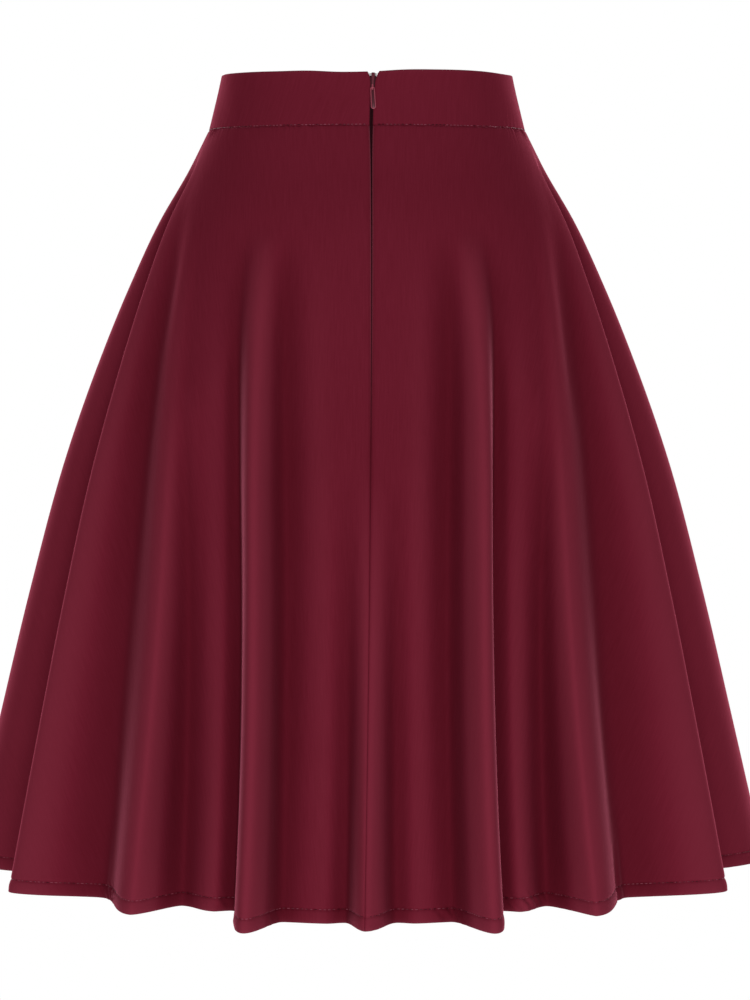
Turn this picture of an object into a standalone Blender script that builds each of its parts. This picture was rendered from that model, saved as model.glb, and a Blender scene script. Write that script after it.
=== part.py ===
"""A knee-length a-line skirt that hangs open from its waistband, for Blender 4.5.

Metres, +Z up. The origin is the middle of the waist seam, where the band meets the skirt.
The wearer faces +Y, so centre back and its zip are at -Y and the wearer's right is at +X.
Every panel is a wall round one surface, which a table of cross-sections and a table of folds give.
"""

import math
from collections import namedtuple

import bmesh
import bpy
import numpy as np
from mathutils import Matrix, Vector

# The skirt, waist seam to hem, and the cloth
SKIRT_LENGTH = 0.584
SKIRT_WALL = 0.0013
BAND_WALL = 0.0024
SEAM_GAP = 0.0003

# The zip at centre back
ZIP_BOTTOM = -0.320
BAND_GAP = 0.0026
NOTCH_GAP = 0.0066
NOTCH_DEPTH = 0.0045
PLACKET_LENGTH = 0.020
TAPE_WIDTH = 0.011
TAPE_WALL = 0.0006
TAPE_EASE = 0.0096
TAPE_TOP = 0.0010
CHAIN_WIDTH = 0.0028
CHAIN_WALL = 0.0012
CHAIN_TOP = 0.0225
TAPE_PARTING = 0.0008

# The slider and its pull tab: heights run from the bail's eye, which is the tab's axis
EYE_HEIGHT = 0.0282
EYE_STANDOFF = 0.0012
EYE_RADIUS = 0.00085
BAIL_RADIUS = 0.00145
BAIL_WIDTH = 0.0016
NECK_WIDTH = 0.0014
SLIDER_WIDTH = 0.0058
SLIDER_WALL = 0.0034
SLIDER_LOW = -0.0025
SLIDER_HIGH = 0.0105
TAB_LENGTH = 0.0165
TAB_TOP_WIDTH = 0.0034
TAB_WIDTH = 0.0040
TAB_WALL = 0.0008
TAB_RIM = 0.0006
POCKET_CORNER = 0.00099
POCKET_FLOOR = 0.0001
TAB_LEAN = math.radians(6)
BAR_RADIUS = 0.0004

# Cross-sections of the band, up from the waist seam, and of the skirt, down from it
Section = namedtuple("Section", "along half_width half_depth")
BAND_SECTIONS = (
    Section(0.0000, 0.1245, 0.0930),
    Section(0.0120, 0.1213, 0.0905),
    Section(0.0260, 0.1178, 0.0878),
    Section(0.0437, 0.1142, 0.0852),
)
SKIRT_SECTIONS = (
    Section(0.000, 0.1245, 0.0930),
    Section(0.030, 0.1395, 0.1060),
    Section(0.070, 0.1610, 0.1250),
    Section(0.120, 0.1815, 0.1430),
    Section(0.180, 0.2025, 0.1620),
    Section(0.260, 0.2260, 0.1850),
    Section(0.360, 0.2475, 0.2080),
    Section(0.470, 0.2675, 0.2300),
    Section(0.584, 0.2870, 0.2500),
)
BAND_HEIGHT = BAND_SECTIONS[-1].along

# A row for each fold that the flare hangs in. top and hem are the ridge's places, in degrees round
# from centre back; bend says how early it swings across. start is the share of the length above it
# that stays smooth, rise how far the ridge stands out at the hem, quick the power with which it gets
# there (under 1 is early), and lean how far it hangs over to one side. before and after shape the
# cloth on its two sides: over 1 leaves the ridge flat, under 1 steeply. dip is how far the hollow
# after it falls in, at the hollow's place between this ridge and the next, and sink and deep are
# what start and quick are to a ridge.
Fold = namedtuple("Fold", "top hem bend start rise quick lean before after dip at sink deep")
FOLDS = (
    Fold(-180, -180, 1.0, 0.30, 0.018, 1.00, 0.000, 1.0, 1.0, -0.022, 0.50, 0.30, 1.0),
    Fold(-157, -162, 4.5, 0.24, 0.027, 0.80, -0.004, 1.1, 0.9, -0.032, 0.46, 0.28, 0.8),
    Fold(-134, -138, 4.5, 0.16, 0.021, 0.80, 0.006, 0.8, 1.1, -0.036, 0.52, 0.24, 0.8),
    Fold(-112, -117, 4.5, 0.10, 0.030, 0.80, -0.006, 1.0, 0.8, -0.034, 0.50, 0.16, 0.8),
    Fold(-88, -99, 2.0, 0.04, 0.040, 1.00, 0.000, 1.0, 1.3, -0.056, 0.62, 0.02, 0.5),
    Fold(-77, -59.5, 5.0, 0.03, 0.014, 0.70, -0.026, 0.8, 1.0, -0.030, 0.46, 0.12, 0.8),
    Fold(-66, -38.7, 3.3, 0.06, 0.006, 0.60, 0.010, 0.9, 1.0, -0.044, 0.42, 0.36, 0.8),
    Fold(-44, -26.5, 3.0, 0.32, -0.034, 0.70, 0.000, 1.0, 1.0, -0.042, 0.36, 0.24, 0.7),
    Fold(-31, -17.8, 2.2, 0.13, 0.038, 0.15, 0.010, 1.1, 1.0, -0.010, 0.46, 0.13, 0.15),
    Fold(-14, -6.0, 2.2, 0.45, -0.008, 1.00, 0.000, 1.0, 1.0, -0.012, 0.46, 0.42, 0.9),
    Fold(1.6, -0.2, 1.0, 0.42, 0.020, 1.00, 0.000, 1.0, 1.2, -0.012, 0.64, 0.42, 0.9),
    Fold(14, 7.4, 2.2, 0.45, -0.008, 1.00, 0.000, 1.0, 1.0, -0.010, 0.54, 0.13, 0.15),
    Fold(31, 17.4, 2.2, 0.13, 0.040, 0.15, -0.004, 1.0, 1.2, -0.041, 0.64, 0.24, 0.7),
    Fold(44, 26.5, 3.0, 0.32, -0.032, 0.70, 0.000, 1.0, 1.0, -0.044, 0.58, 0.36, 0.8),
    Fold(66, 37.3, 3.3, 0.06, 0.008, 0.60, -0.010, 1.0, 0.9, -0.032, 0.54, 0.12, 0.8),
    Fold(77, 60.5, 5.0, 0.03, 0.014, 0.70, 0.026, 1.0, 0.8, -0.056, 0.38, 0.02, 0.5),
    Fold(88, 103, 2.0, 0.04, 0.042, 1.00, 0.000, 1.3, 1.0, -0.036, 0.50, 0.14, 0.8),
    Fold(114, 121, 4.5, 0.12, 0.024, 0.80, 0.006, 0.8, 1.0, -0.032, 0.54, 0.22, 0.8),
    Fold(136, 141, 4.5, 0.14, 0.028, 0.80, -0.006, 1.1, 0.8, -0.036, 0.48, 0.28, 0.8),
    Fold(159, 160, 4.5, 0.26, 0.022, 0.80, 0.004, 0.9, 1.1, -0.018, 0.50, 0.30, 1.0),
    Fold(180, 180, 1.0, 0.30, 0.018, 1.00, 0.000, 1.0, 1.0, -0.022, 0.50, 0.30, 1.0),
)
FOLD_EASE = 0.06
START_EASE = 0.03
RIDGE_EASE = 0.04
SIDE_LEFT, CENTRE_BACK, SIDE_RIGHT = 4, 10, 16
WHOLE_TURN = len(FOLDS) - 1

# How far the centre-back line leans over in the band, in degrees, and the curve it leans by
BAND_LEAN = 1.0
BAND_LEAN_CURVE = 1.5

# How finely the walls are drawn
BACK_COLUMNS = 66
FRONT_COLUMNS = 74
FLANK_SHARE = 5
SKIRT_ROWS = 15
ROW_CROWDING = 1.2
BAND_COLUMNS = 20
BAND_ROWS = 6
BAND_CROWDING = 2
SHARP_EDGE = math.radians(50)

# The small steps, in degrees and metres, that give a surface's normal
STEP_ROUND = 0.02
STEP_DOWN = 0.0002

CLOTH_COLOUR = (0.117, 0.0116, 0.0232)
TAPE_COLOUR = (0.075, 0.008, 0.016)
PAINT_COLOUR = (0.150, 0.018, 0.032)


def clear_scene():
    for thing in list(bpy.data.objects):
        bpy.data.objects.remove(thing, do_unlink=True)


def make_material(name, colour, roughness, metallic=0.0):
    material = bpy.data.materials.new(name)
    material.use_nodes = True
    shader = material.node_tree.nodes["Principled BSDF"]
    shader.inputs["Base Color"].default_value = (*colour, 1)
    shader.inputs["Roughness"].default_value = roughness
    shader.inputs["Metallic"].default_value = metallic
    return material


def smooth_through(x, xs, ys):
    """A curve of cubic pieces through a table's points, its slopes taken from the neighbours."""
    xs = np.asarray(xs, float)
    ys = np.asarray(ys, float)
    steps = np.diff(xs)
    chords = np.diff(ys) / steps
    slopes = np.empty_like(ys)
    slopes[1:-1] = (chords[:-1] * steps[1:] + chords[1:] * steps[:-1]) / (steps[:-1] + steps[1:])
    slopes[0] = chords[0]
    slopes[-1] = chords[-1]
    piece = np.clip(np.searchsorted(xs, x, side="right") - 1, 0, len(xs) - 2)
    width = steps[piece]
    s = (x - xs[piece]) / width
    return (
        (1 + 2 * s) * (1 - s) ** 2 * ys[piece]
        + s * (1 - s) ** 2 * width * slopes[piece]
        + s**2 * (3 - 2 * s) * ys[piece + 1]
        + s**2 * (s - 1) * width * slopes[piece + 1]
    )


def half_sizes(height):
    """Half the width and depth of the oval at a height: band above 0, skirt below."""
    sizes = []
    for field in ("half_width", "half_depth"):
        halves = []
        for sections, along in ((SKIRT_SECTIONS, -height), (BAND_SECTIONS, height)):
            places = [row.along for row in sections]
            values = [getattr(row, field) for row in sections]
            halves.append(smooth_through(np.maximum(along, 0), places, values))
        sizes.append(np.where(height < 0, *halves))
    return sizes


def fold_angle(fold, share):
    """The ridge's angle at a share of the way down, which swings from top to hem."""
    return fold.hem + (fold.top - fold.hem) * np.clip(1 - share, 0, 1) ** fold.bend


def shaped(x, power, ease):
    """Runs from 0 to 1 with x, early for a power under 1 and late for one over 1. The ease keeps
    its beginning gentle, so that a fold sets in softly and a ridge stays rounder than the cloth is
    thick: ((x + ease)^power - ease^power) / ((1 + ease)^power - ease^power)."""
    low = ease**power
    return ((x + ease) ** power - low) / ((1 + ease) ** power - low)


def fold_growth(start, power, share):
    """0 above the fold's start, then a soft beginning and a growth to 1 at the hem."""
    below = np.clip((share - start) / (1 - start), 0, None)
    return shaped(below**2 / (below + FOLD_EASE) * (1 + FOLD_EASE), power, START_EASE)


def fold_lines(share):
    """Angle, offset and lean of every ridge and hollow in turn at a share of the way down."""
    lines = []
    for fold, after in zip(FOLDS, FOLDS[1:] + FOLDS[:1]):
        here = fold_angle(fold, share)
        growth = fold_growth(fold.start, fold.quick, share)
        lines.append((here, fold.rise * growth, fold.lean * growth))
        hollow = here + (fold_angle(after, share) - here) * fold.at
        lines.append((hollow, fold.dip * fold_growth(fold.sink, fold.deep, share), 0 * growth))
    return lines[:-1]


def across_folds(angle, lines, value):
    """One value of the lines carried round: over each flank, from ridge to hollow, it changes by
    half a cosine wave whose start the fold's shape stretches or squeezes."""
    shapes = [shape for fold, after in zip(FOLDS, FOLDS[1:]) for shape in (fold.after, after.before)]
    angle = (angle + 180) % 360 - 180
    total = lines[0][value] + 0 * angle
    for k, shape in enumerate(shapes):
        across = np.clip((angle - lines[k][0]) / (lines[k + 1][0] - lines[k][0]), 0, 1)
        falls = k % 2 == 0
        from_ridge = across if falls else 1 - across
        wave = (1 - np.cos(math.pi * shaped(from_ridge, shape, RIDGE_EASE))) / 2
        total = total + (lines[k + 1][value] - lines[k][value]) * (wave if falls else 1 - wave)
    return total


def garment_surface(angle, height):
    """The outer face at an angle round from centre back, in degrees, and a height. Below the waist
    seam the folds move it out along the oval's normal and, where they lean, along the oval."""
    half_width, half_depth = half_sizes(height)
    turn = np.radians(angle)
    out_x = np.sin(turn) / half_width
    out_y = -np.cos(turn) / half_depth
    size = np.hypot(out_x, out_y)
    lines = fold_lines(np.clip(-height, 0, None) / SKIRT_LENGTH)
    out = across_folds(angle, lines, 1) / size
    aside = across_folds(angle, lines, 2) / size
    x = half_width * np.sin(turn) + out * out_x - aside * out_y
    y = -half_depth * np.cos(turn) + out * out_y + aside * out_x
    return np.stack([x, y, height + 0 * x], axis=-1)


def outward(angle, height):
    """The surface's outward normal, from two small steps on it."""
    across = garment_surface(angle + STEP_ROUND, height) - garment_surface(angle - STEP_ROUND, height)
    down = garment_surface(angle, height - STEP_DOWN) - garment_surface(angle, height)
    normal = np.cross(down, across)
    return normal / np.linalg.norm(normal, axis=-1, keepdims=True)


def centre_back_angle(height):
    """The zip and seam stray a little to the wearer's right, and lean further in the band."""
    seam = fold_angle(FOLDS[CENTRE_BACK], np.clip(-height / SKIRT_LENGTH, 0, 1))
    return seam + BAND_LEAN * (np.clip(height, 0, None) / BAND_HEIGHT) ** BAND_LEAN_CURVE


def centre_back_gap(height):
    """Width of the opening at centre back: a notch at the band's top that closes below the band."""
    from_top = np.clip(BAND_HEIGHT - height, 0, None)
    band = BAND_GAP + NOTCH_GAP * np.exp(-from_top / NOTCH_DEPTH)
    skirt = SEAM_GAP + (BAND_GAP - SEAM_GAP) * np.exp(np.minimum(height, 0) / PLACKET_LENGTH)
    return np.where(height > 0, band, skirt)


def degrees_for(distance, angle, height):
    """The angle that a distance along the oval spans there."""
    half_width, half_depth = half_sizes(height)
    turn = np.radians(angle)
    return np.degrees(distance / np.hypot(half_width * np.cos(turn), half_depth * np.sin(turn)))


def closed_wall(name, outer, inner, material):
    """One closed body from two grids of points, [row, column], with rows going down and columns
    going round from -X over centre back to +X."""
    rows, columns = outer.shape[:2]
    points = np.concatenate([outer.reshape(-1, 3), inner.reshape(-1, 3)])
    index = np.arange(rows * columns).reshape(rows, columns)
    under = index + rows * columns

    def quads(a, b, c, d):
        return np.stack([a.ravel(), b.ravel(), c.ravel(), d.ravel()], axis=1)

    faces = np.concatenate(
        [
            quads(index[:-1, :-1], index[1:, :-1], index[1:, 1:], index[:-1, 1:]),
            quads(under[:-1, :-1], under[:-1, 1:], under[1:, 1:], under[1:, :-1]),
            quads(index[0, :-1], index[0, 1:], under[0, 1:], under[0, :-1]),
            quads(index[-1, :-1], under[-1, :-1], under[-1, 1:], index[-1, 1:]),
            quads(index[:-1, 0], under[:-1, 0], under[1:, 0], index[1:, 0]),
            quads(index[:-1, -1], index[1:, -1], under[1:, -1], under[:-1, -1]),
        ]
    )
    mesh = bpy.data.meshes.new(name)
    mesh.from_pydata(points.tolist(), [], faces.tolist())
    mesh.materials.append(material)
    mesh.shade_smooth()
    mesh.set_sharp_from_angle(angle=SHARP_EDGE)
    body = bpy.data.objects.new(name, mesh)
    bpy.context.scene.collection.objects.link(body)
    return body


def offset_wall(name, angle, height, outside, inside, material):
    """A wall that lies between two depths under the garment's surface."""
    face = garment_surface(angle, height)
    normal = outward(angle, height)
    outer = face - normal * np.broadcast_to(outside, angle.shape)[..., None]
    inner = face - normal * np.broadcast_to(inside, angle.shape)[..., None]
    return closed_wall(name, outer, inner, material)


def ease_edges(angle, height, first_gap, last_gap):
    """Moves a panel's edge columns in by half of the gap that each keeps to its neighbour."""
    for column, sign, gap in ((0, 1, first_gap), (-1, -1, last_gap)):
        edge = angle[:, column]
        along = height[:, column]
        angle[:, column] = edge + sign * degrees_for(gap(along) / 2, edge, along)


def panel_angles(first, last, share, columns):
    """The angles of a panel's columns, row by row, from one fold's ridge to another's. They follow
    its ridges and hollows, and each flank has columns for its mean width and a little more. The
    front runs through 180 degrees, so the lines go round once more."""
    lines = [line[0] for line in fold_lines(share)]
    around = lines + [line + 360 for line in lines[1:]]
    lines = np.stack(around[2 * first : 2 * last + 1], axis=1)
    widths = np.diff(lines.mean(axis=0)) + FLANK_SHARE
    stops = np.concatenate([[0], np.cumsum(widths)]) / widths.sum()
    place = np.interp(np.linspace(0, 1, columns + 1), stops, np.arange(len(stops)))
    flank = np.minimum(place.astype(int), len(widths) - 1)
    return lines[:, flank] + (lines[:, flank + 1] - lines[:, flank]) * (place - flank)


def seam_gap(height):
    return SEAM_GAP + 0 * height


def skirt_heights():
    share = np.linspace(0, 1, SKIRT_ROWS + 1) ** ROW_CROWDING
    return -SEAM_GAP / 2 - share * (SKIRT_LENGTH - SEAM_GAP / 2)


def band_heights():
    """The band's rows crowd to the top, where the zip's notch opens."""
    share = 1 - np.linspace(0, 1, BAND_ROWS + 1) ** BAND_CROWDING
    return SEAM_GAP / 2 + share * (BAND_HEIGHT - SEAM_GAP / 2)


def skirt_panel(name, first, last, columns, first_gap, last_gap, material):
    height = skirt_heights()
    angle = panel_angles(first, last, -height / SKIRT_LENGTH, columns)
    height = np.repeat(height[:, None], angle.shape[1], axis=1)
    ease_edges(angle, height, first_gap, last_gap)
    offset_wall(name, angle, height, 0, SKIRT_WALL, material)


def band_panel(name, first_angle, last_angle, columns, first_gap, last_gap, material):
    """A length of the doubled band, from one seam's angle to another's."""
    height = band_heights()
    start = first_angle(height)[:, None]
    angle = start + (last_angle(height)[:, None] - start) * np.linspace(0, 1, columns + 1)
    height = np.repeat(height[:, None], angle.shape[1], axis=1)
    ease_edges(angle, height, first_gap, last_gap)
    offset_wall(name, angle, height, 0, BAND_WALL, material)


def side_seam(fold):
    """The band's side seams stand over the skirt's."""
    return lambda height: FOLDS[fold].top + 0 * height


def zip_heights(top):
    """The rows of the walls that the zip lies behind, so that its faces keep clear of theirs. It
    ends at the last of them above its bottom stop."""
    rows = np.concatenate([[top], band_heights(), skirt_heights()])
    return rows[(rows <= top) & (rows > ZIP_BOTTOM)]


def behind_wall(height):
    """How deep the zip lies: behind the doubled band, easing out to lie behind the single skirt."""
    share = np.clip((-height - BAND_WALL) / TAPE_EASE, 0, 1)
    ease = share**2 * (3 - 2 * share)
    return BAND_WALL + (SKIRT_WALL - BAND_WALL) * ease + SEAM_GAP


def zip_tape(name, side, material):
    """A tape behind one back edge, parted round the slider; side is -1 to the left, 1 to the right."""
    height = zip_heights(BAND_HEIGHT - TAPE_TOP)
    near_slider = 1 / (1 + np.exp((CHAIN_TOP - height) / TAPE_PARTING))
    beside_chain = CHAIN_WIDTH / 2 + SEAM_GAP
    beside_slider = SLIDER_WIDTH / 2 + 2 * SEAM_GAP
    start = beside_chain + (beside_slider - beside_chain) * near_slider
    share = np.linspace(0, 1, 4)
    if side < 0:
        share = share[::-1]
    across = start[:, None] + (TAPE_WIDTH - start[:, None]) * share
    height = np.repeat(height[:, None], len(share), axis=1)
    centre = centre_back_angle(height)
    angle = centre + side * degrees_for(across, centre, height)
    depth = behind_wall(height)
    offset_wall(name, angle, height, depth, depth + TAPE_WALL, material)


def zip_chain(name, material):
    height = zip_heights(CHAIN_TOP)
    across = np.linspace(-CHAIN_WIDTH / 2, CHAIN_WIDTH / 2, 3)
    height = np.repeat(height[:, None], len(across), axis=1)
    centre = centre_back_angle(height)
    angle = centre + degrees_for(across, centre, height)
    depth = behind_wall(height)
    offset_wall(name, angle, height, depth, depth + CHAIN_WALL, material)


def eye_frame():
    """The slider's own axes at the bail's eye: X across, Y into the band, Z up along its slope."""
    height = np.array([EYE_HEIGHT])
    angle = centre_back_angle(height)
    place = garment_surface(angle, height)[0]
    normal = outward(angle, height)[0]
    above = garment_surface(centre_back_angle(height + SLIDER_HIGH), height + SLIDER_HIGH)[0]
    slope = math.atan2(normal[2], -normal[1])
    lean = math.atan2(above[0] - place[0], SLIDER_HIGH)
    origin = Vector(place) + Vector(normal) * EYE_STANDOFF
    return Matrix.Translation(origin) @ Matrix.Rotation(lean, 4, "Y") @ Matrix.Rotation(-slope, 4, "X")


def helper(name, mesh):
    """A body that only shapes another through a Boolean."""
    body = bpy.data.objects.new(name, mesh)
    bpy.context.scene.collection.objects.link(body)
    body.hide_render = True
    body.display_type = "WIRE"
    return body


def extruded(name, outline, low, high):
    """A closed prism from an outline of (x, z) points, anticlockwise seen from outside, between two
    depths on Y."""
    shape = bmesh.new()
    face = shape.faces.new([shape.verts.new((x, low, z)) for x, z in outline])
    made = bmesh.ops.extrude_face_region(shape, geom=[face])
    moved = [v for v in made["geom"] if isinstance(v, bmesh.types.BMVert)]
    bmesh.ops.translate(shape, verts=moved, vec=(0, high - low, 0))
    bmesh.ops.recalc_face_normals(shape, faces=shape.faces)
    mesh = bpy.data.meshes.new(name)
    shape.to_mesh(mesh)
    shape.free()
    return mesh


def rounded_box(half_width, low, high, corner, points=4):
    """An outline with round corners, half_width each side of the middle, from low to high."""
    outline = []
    corners = (
        (half_width - corner, high - corner, 0),
        (corner - half_width, high - corner, 90),
        (corner - half_width, low + corner, 180),
        (half_width - corner, low + corner, 270),
    )
    for x, z, start in corners:
        for step in range(points + 1):
            turn = math.radians(start + 90 * step / points)
            outline.append((x + corner * math.cos(turn), z + corner * math.sin(turn)))
    return outline


def teardrop(length, top_width, width, points=8):
    """The tab's outline round its axis: a round bar end that widens to a half circle at the foot."""
    corner = 2 * BAR_RADIUS
    side = top_width / 2 - corner
    arcs = (
        (side, -BAR_RADIUS, corner, 0, 90),
        (-side, -BAR_RADIUS, corner, 90, 90),
        (0, width / 2 - length, width / 2, 180, 180),
    )
    outline = []
    for x, z, radius, start, sweep in arcs:
        for step in range(points + 1):
            turn = math.radians(start + sweep * step / points)
            outline.append((x + radius * math.cos(turn), z + radius * math.sin(turn)))
    return outline


def boolean(body, other, operation):
    modifier = body.modifiers.new(other.name, "BOOLEAN")
    modifier.operation = operation
    modifier.solver = "EXACT"
    modifier.object = other


def bail_ring(name, points=20, round_points=8):
    """A ring whose hole runs along X, with an oval section that is wider than it is thick."""
    middle = (EYE_RADIUS + BAIL_RADIUS) / 2
    thick = (BAIL_RADIUS - EYE_RADIUS) / 2
    turn = np.linspace(0, 2 * math.pi, points, endpoint=False)[:, None]
    section = np.linspace(0, 2 * math.pi, round_points, endpoint=False)[None, :]
    reach = middle + thick * np.cos(section)
    x = BAIL_WIDTH / 2 * np.sin(section) + 0 * turn
    ring = np.stack([x, reach * np.cos(turn), reach * np.sin(turn)], axis=-1).reshape(-1, 3)
    index = np.arange(points * round_points).reshape(points, round_points)
    along = np.roll(index, -1, axis=0)
    faces = np.stack([index, np.roll(index, -1, axis=1), np.roll(along, -1, axis=1), along], axis=-1)
    mesh = bpy.data.meshes.new(name)
    mesh.from_pydata(ring.tolist(), [], faces.reshape(-1, 4).tolist())
    shape = bmesh.new()
    shape.from_mesh(mesh)
    bmesh.ops.recalc_face_normals(shape, faces=shape.faces)
    shape.to_mesh(mesh)
    shape.free()
    return mesh


def make_slider(name, frame, material):
    """The body rides behind the band; its neck comes out through the gap and carries the bail."""
    front = EYE_STANDOFF + BAND_WALL + SEAM_GAP
    outline = rounded_box(SLIDER_WIDTH / 2, SLIDER_LOW, SLIDER_HIGH, SLIDER_WIDTH / 4)
    mesh = extruded(name, outline, front, front + SLIDER_WALL)
    mesh.materials.append(material)
    body = bpy.data.objects.new(name, mesh)
    bpy.context.scene.collection.objects.link(body)
    neck_outline = rounded_box(NECK_WIDTH / 2, -BAIL_RADIUS, 2 * BAIL_RADIUS, NECK_WIDTH / 4)
    neck_front = (EYE_RADIUS + BAIL_RADIUS) / 2
    neck = helper("neck", extruded("neck", neck_outline, neck_front, front + SLIDER_WALL / 2))
    bail = helper("bail", bail_ring("bail"))
    for other in (neck, bail):
        other.matrix_world = frame
        boolean(body, other, "UNION")
    body.matrix_world = frame
    return body


def make_tab(name, frame, material):
    """A teardrop plate with a raised rim and a window at its top; the bar over the window turns in
    the bail's eye."""
    outline = teardrop(TAB_LENGTH, TAB_TOP_WIDTH, TAB_WIDTH)
    mesh = extruded(name, outline, -TAB_WALL / 2, TAB_WALL / 2)
    mesh.materials.append(material)
    tab = bpy.data.objects.new(name, mesh)
    bpy.context.scene.collection.objects.link(tab)
    window_half = BAIL_WIDTH / 2 + SEAM_GAP
    window_low = -BAIL_RADIUS - 2 * SEAM_GAP
    window = rounded_box(window_half, window_low, -BAR_RADIUS, window_half / 3)
    pocket_wide = TAB_TOP_WIDTH / 2 - TAB_RIM
    pocket = rounded_box(pocket_wide, TAB_RIM - TAB_LENGTH, window_low - TAB_RIM, POCKET_CORNER)
    cutters = (
        helper("window_cutter", extruded("window_cutter", window, -TAB_WALL, TAB_WALL)),
        helper("pocket_cutter", extruded("pocket_cutter", pocket, -TAB_WALL, -POCKET_FLOOR)),
    )
    lean = frame @ Matrix.Rotation(-TAB_LEAN, 4, "Y")
    for cutter in cutters:
        cutter.matrix_world = lean
        boolean(tab, cutter, "DIFFERENCE")
    tab.matrix_world = lean
    return tab


def main():
    clear_scene()
    cloth = make_material("burgundy cloth", CLOTH_COLOUR, 0.7)
    tape = make_material("zip tape", TAPE_COLOUR, 0.8)
    paint = make_material("burgundy paint", PAINT_COLOUR, 0.35)

    centre = centre_back_gap
    skirt_panel("skirt_back_left", SIDE_LEFT, CENTRE_BACK, BACK_COLUMNS, seam_gap, centre, cloth)
    skirt_panel("skirt_back_right", CENTRE_BACK, SIDE_RIGHT, BACK_COLUMNS, centre, seam_gap, cloth)
    front_end = WHOLE_TURN + SIDE_LEFT
    skirt_panel("skirt_front", SIDE_RIGHT, front_end, FRONT_COLUMNS, seam_gap, seam_gap, cloth)

    left = side_seam(SIDE_LEFT)
    right = side_seam(SIDE_RIGHT)
    centre = centre_back_angle
    band_panel("waistband_back_left", left, centre, BAND_COLUMNS, seam_gap, centre_back_gap, cloth)
    band_panel("waistband_back_right", centre, right, BAND_COLUMNS, centre_back_gap, seam_gap, cloth)
    band_panel(
        "waistband_front", right, lambda h: left(h) + 360, 2 * BAND_COLUMNS, seam_gap, seam_gap, cloth
    )

    zip_tape("zip_tape_left", -1, tape)
    zip_tape("zip_tape_right", 1, tape)
    zip_chain("zip_chain", tape)
    frame = eye_frame()
    make_slider("zip_slider", frame, paint)
    make_tab("zip_pull_tab", frame, paint)


main()
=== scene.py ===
# %% [markdown]
# # A flared a-line skirt, hung open from its waistband
# The skirt is shown from behind, filled out as if it were worn. Its cloth is a smooth burgundy
# cotton twill. Everything is built in metres, +Z up, round the middle of the waist seam; the
# concealed zip at centre back faces -Y. The solids that are loaded first fix each piece's place
# and size, and the pieces made below are the finer things that stand for them.

# %% Load the frame that every piece is fitted to
import math
from collections import namedtuple

import bpy
import numpy as np
from mathutils import Matrix, Vector


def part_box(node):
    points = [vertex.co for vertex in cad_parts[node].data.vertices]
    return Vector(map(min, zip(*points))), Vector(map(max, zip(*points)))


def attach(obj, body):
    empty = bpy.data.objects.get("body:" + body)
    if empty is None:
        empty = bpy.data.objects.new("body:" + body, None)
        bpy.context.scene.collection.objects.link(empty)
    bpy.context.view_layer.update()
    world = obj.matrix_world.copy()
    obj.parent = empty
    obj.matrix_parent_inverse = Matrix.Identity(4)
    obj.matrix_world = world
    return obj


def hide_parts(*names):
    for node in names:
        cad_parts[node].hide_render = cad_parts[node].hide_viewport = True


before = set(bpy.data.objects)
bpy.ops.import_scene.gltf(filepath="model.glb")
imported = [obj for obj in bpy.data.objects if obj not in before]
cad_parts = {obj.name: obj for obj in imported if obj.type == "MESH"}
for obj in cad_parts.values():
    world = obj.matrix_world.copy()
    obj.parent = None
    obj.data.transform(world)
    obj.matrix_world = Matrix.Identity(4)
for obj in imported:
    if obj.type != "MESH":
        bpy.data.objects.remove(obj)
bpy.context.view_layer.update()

# %% [markdown]
# ## The shape that the cut gives
# A flared skirt is cut as a broad ring sector, so its hem is far longer than its waist and the
# spare length hangs in flutes. One could simulate that, but a simulation never lands on the folds
# one wants. Here the form is a formula instead: an oval section at each height, from a short
# table, plus flutes from a table with one row for each fold. top and hem are the angles at which
# a fold's ridge would meet the waist and does meet the hem, and bend is how soon it runs from one
# to the other. start is the share of the way down at which it sets in, rise how far it stands out
# at the hem, quick how late it gets there (under 1 is early), and lean how far it hangs aside.
# before and after shape its two flanks. dip, at, sink and deep say the same of the hollow that
# follows: how far out, where between the two ridges, from where down, and how late.

# %% Sections of the band, up from the waist seam, and of the skirt, down from it
SKIRT_LENGTH = -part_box("skirt_front")[0].z
BAND_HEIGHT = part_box("waistband_front")[1].z
ZIP_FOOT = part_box("zip_chain")[0].z

Section = namedtuple("Section", "along half_width half_depth")
BAND_SECTIONS = (
    Section(0.0000, 0.1245, 0.0930),
    Section(0.0120, 0.1213, 0.0905),
    Section(0.0260, 0.1178, 0.0878),
    Section(0.0437, 0.1142, 0.0852),
)
SKIRT_SECTIONS = (
    Section(0.000, 0.1245, 0.0930),
    Section(0.030, 0.1395, 0.1060),
    Section(0.070, 0.1610, 0.1250),
    Section(0.120, 0.1815, 0.1430),
    Section(0.180, 0.2025, 0.1620),
    Section(0.260, 0.2260, 0.1850),
    Section(0.360, 0.2475, 0.2080),
    Section(0.470, 0.2675, 0.2300),
    Section(0.584, 0.2870, 0.2500),
)
print(f"skirt {SKIRT_LENGTH * 1000:.0f} mm and band {BAND_HEIGHT * 1000:.1f} mm high")

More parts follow.
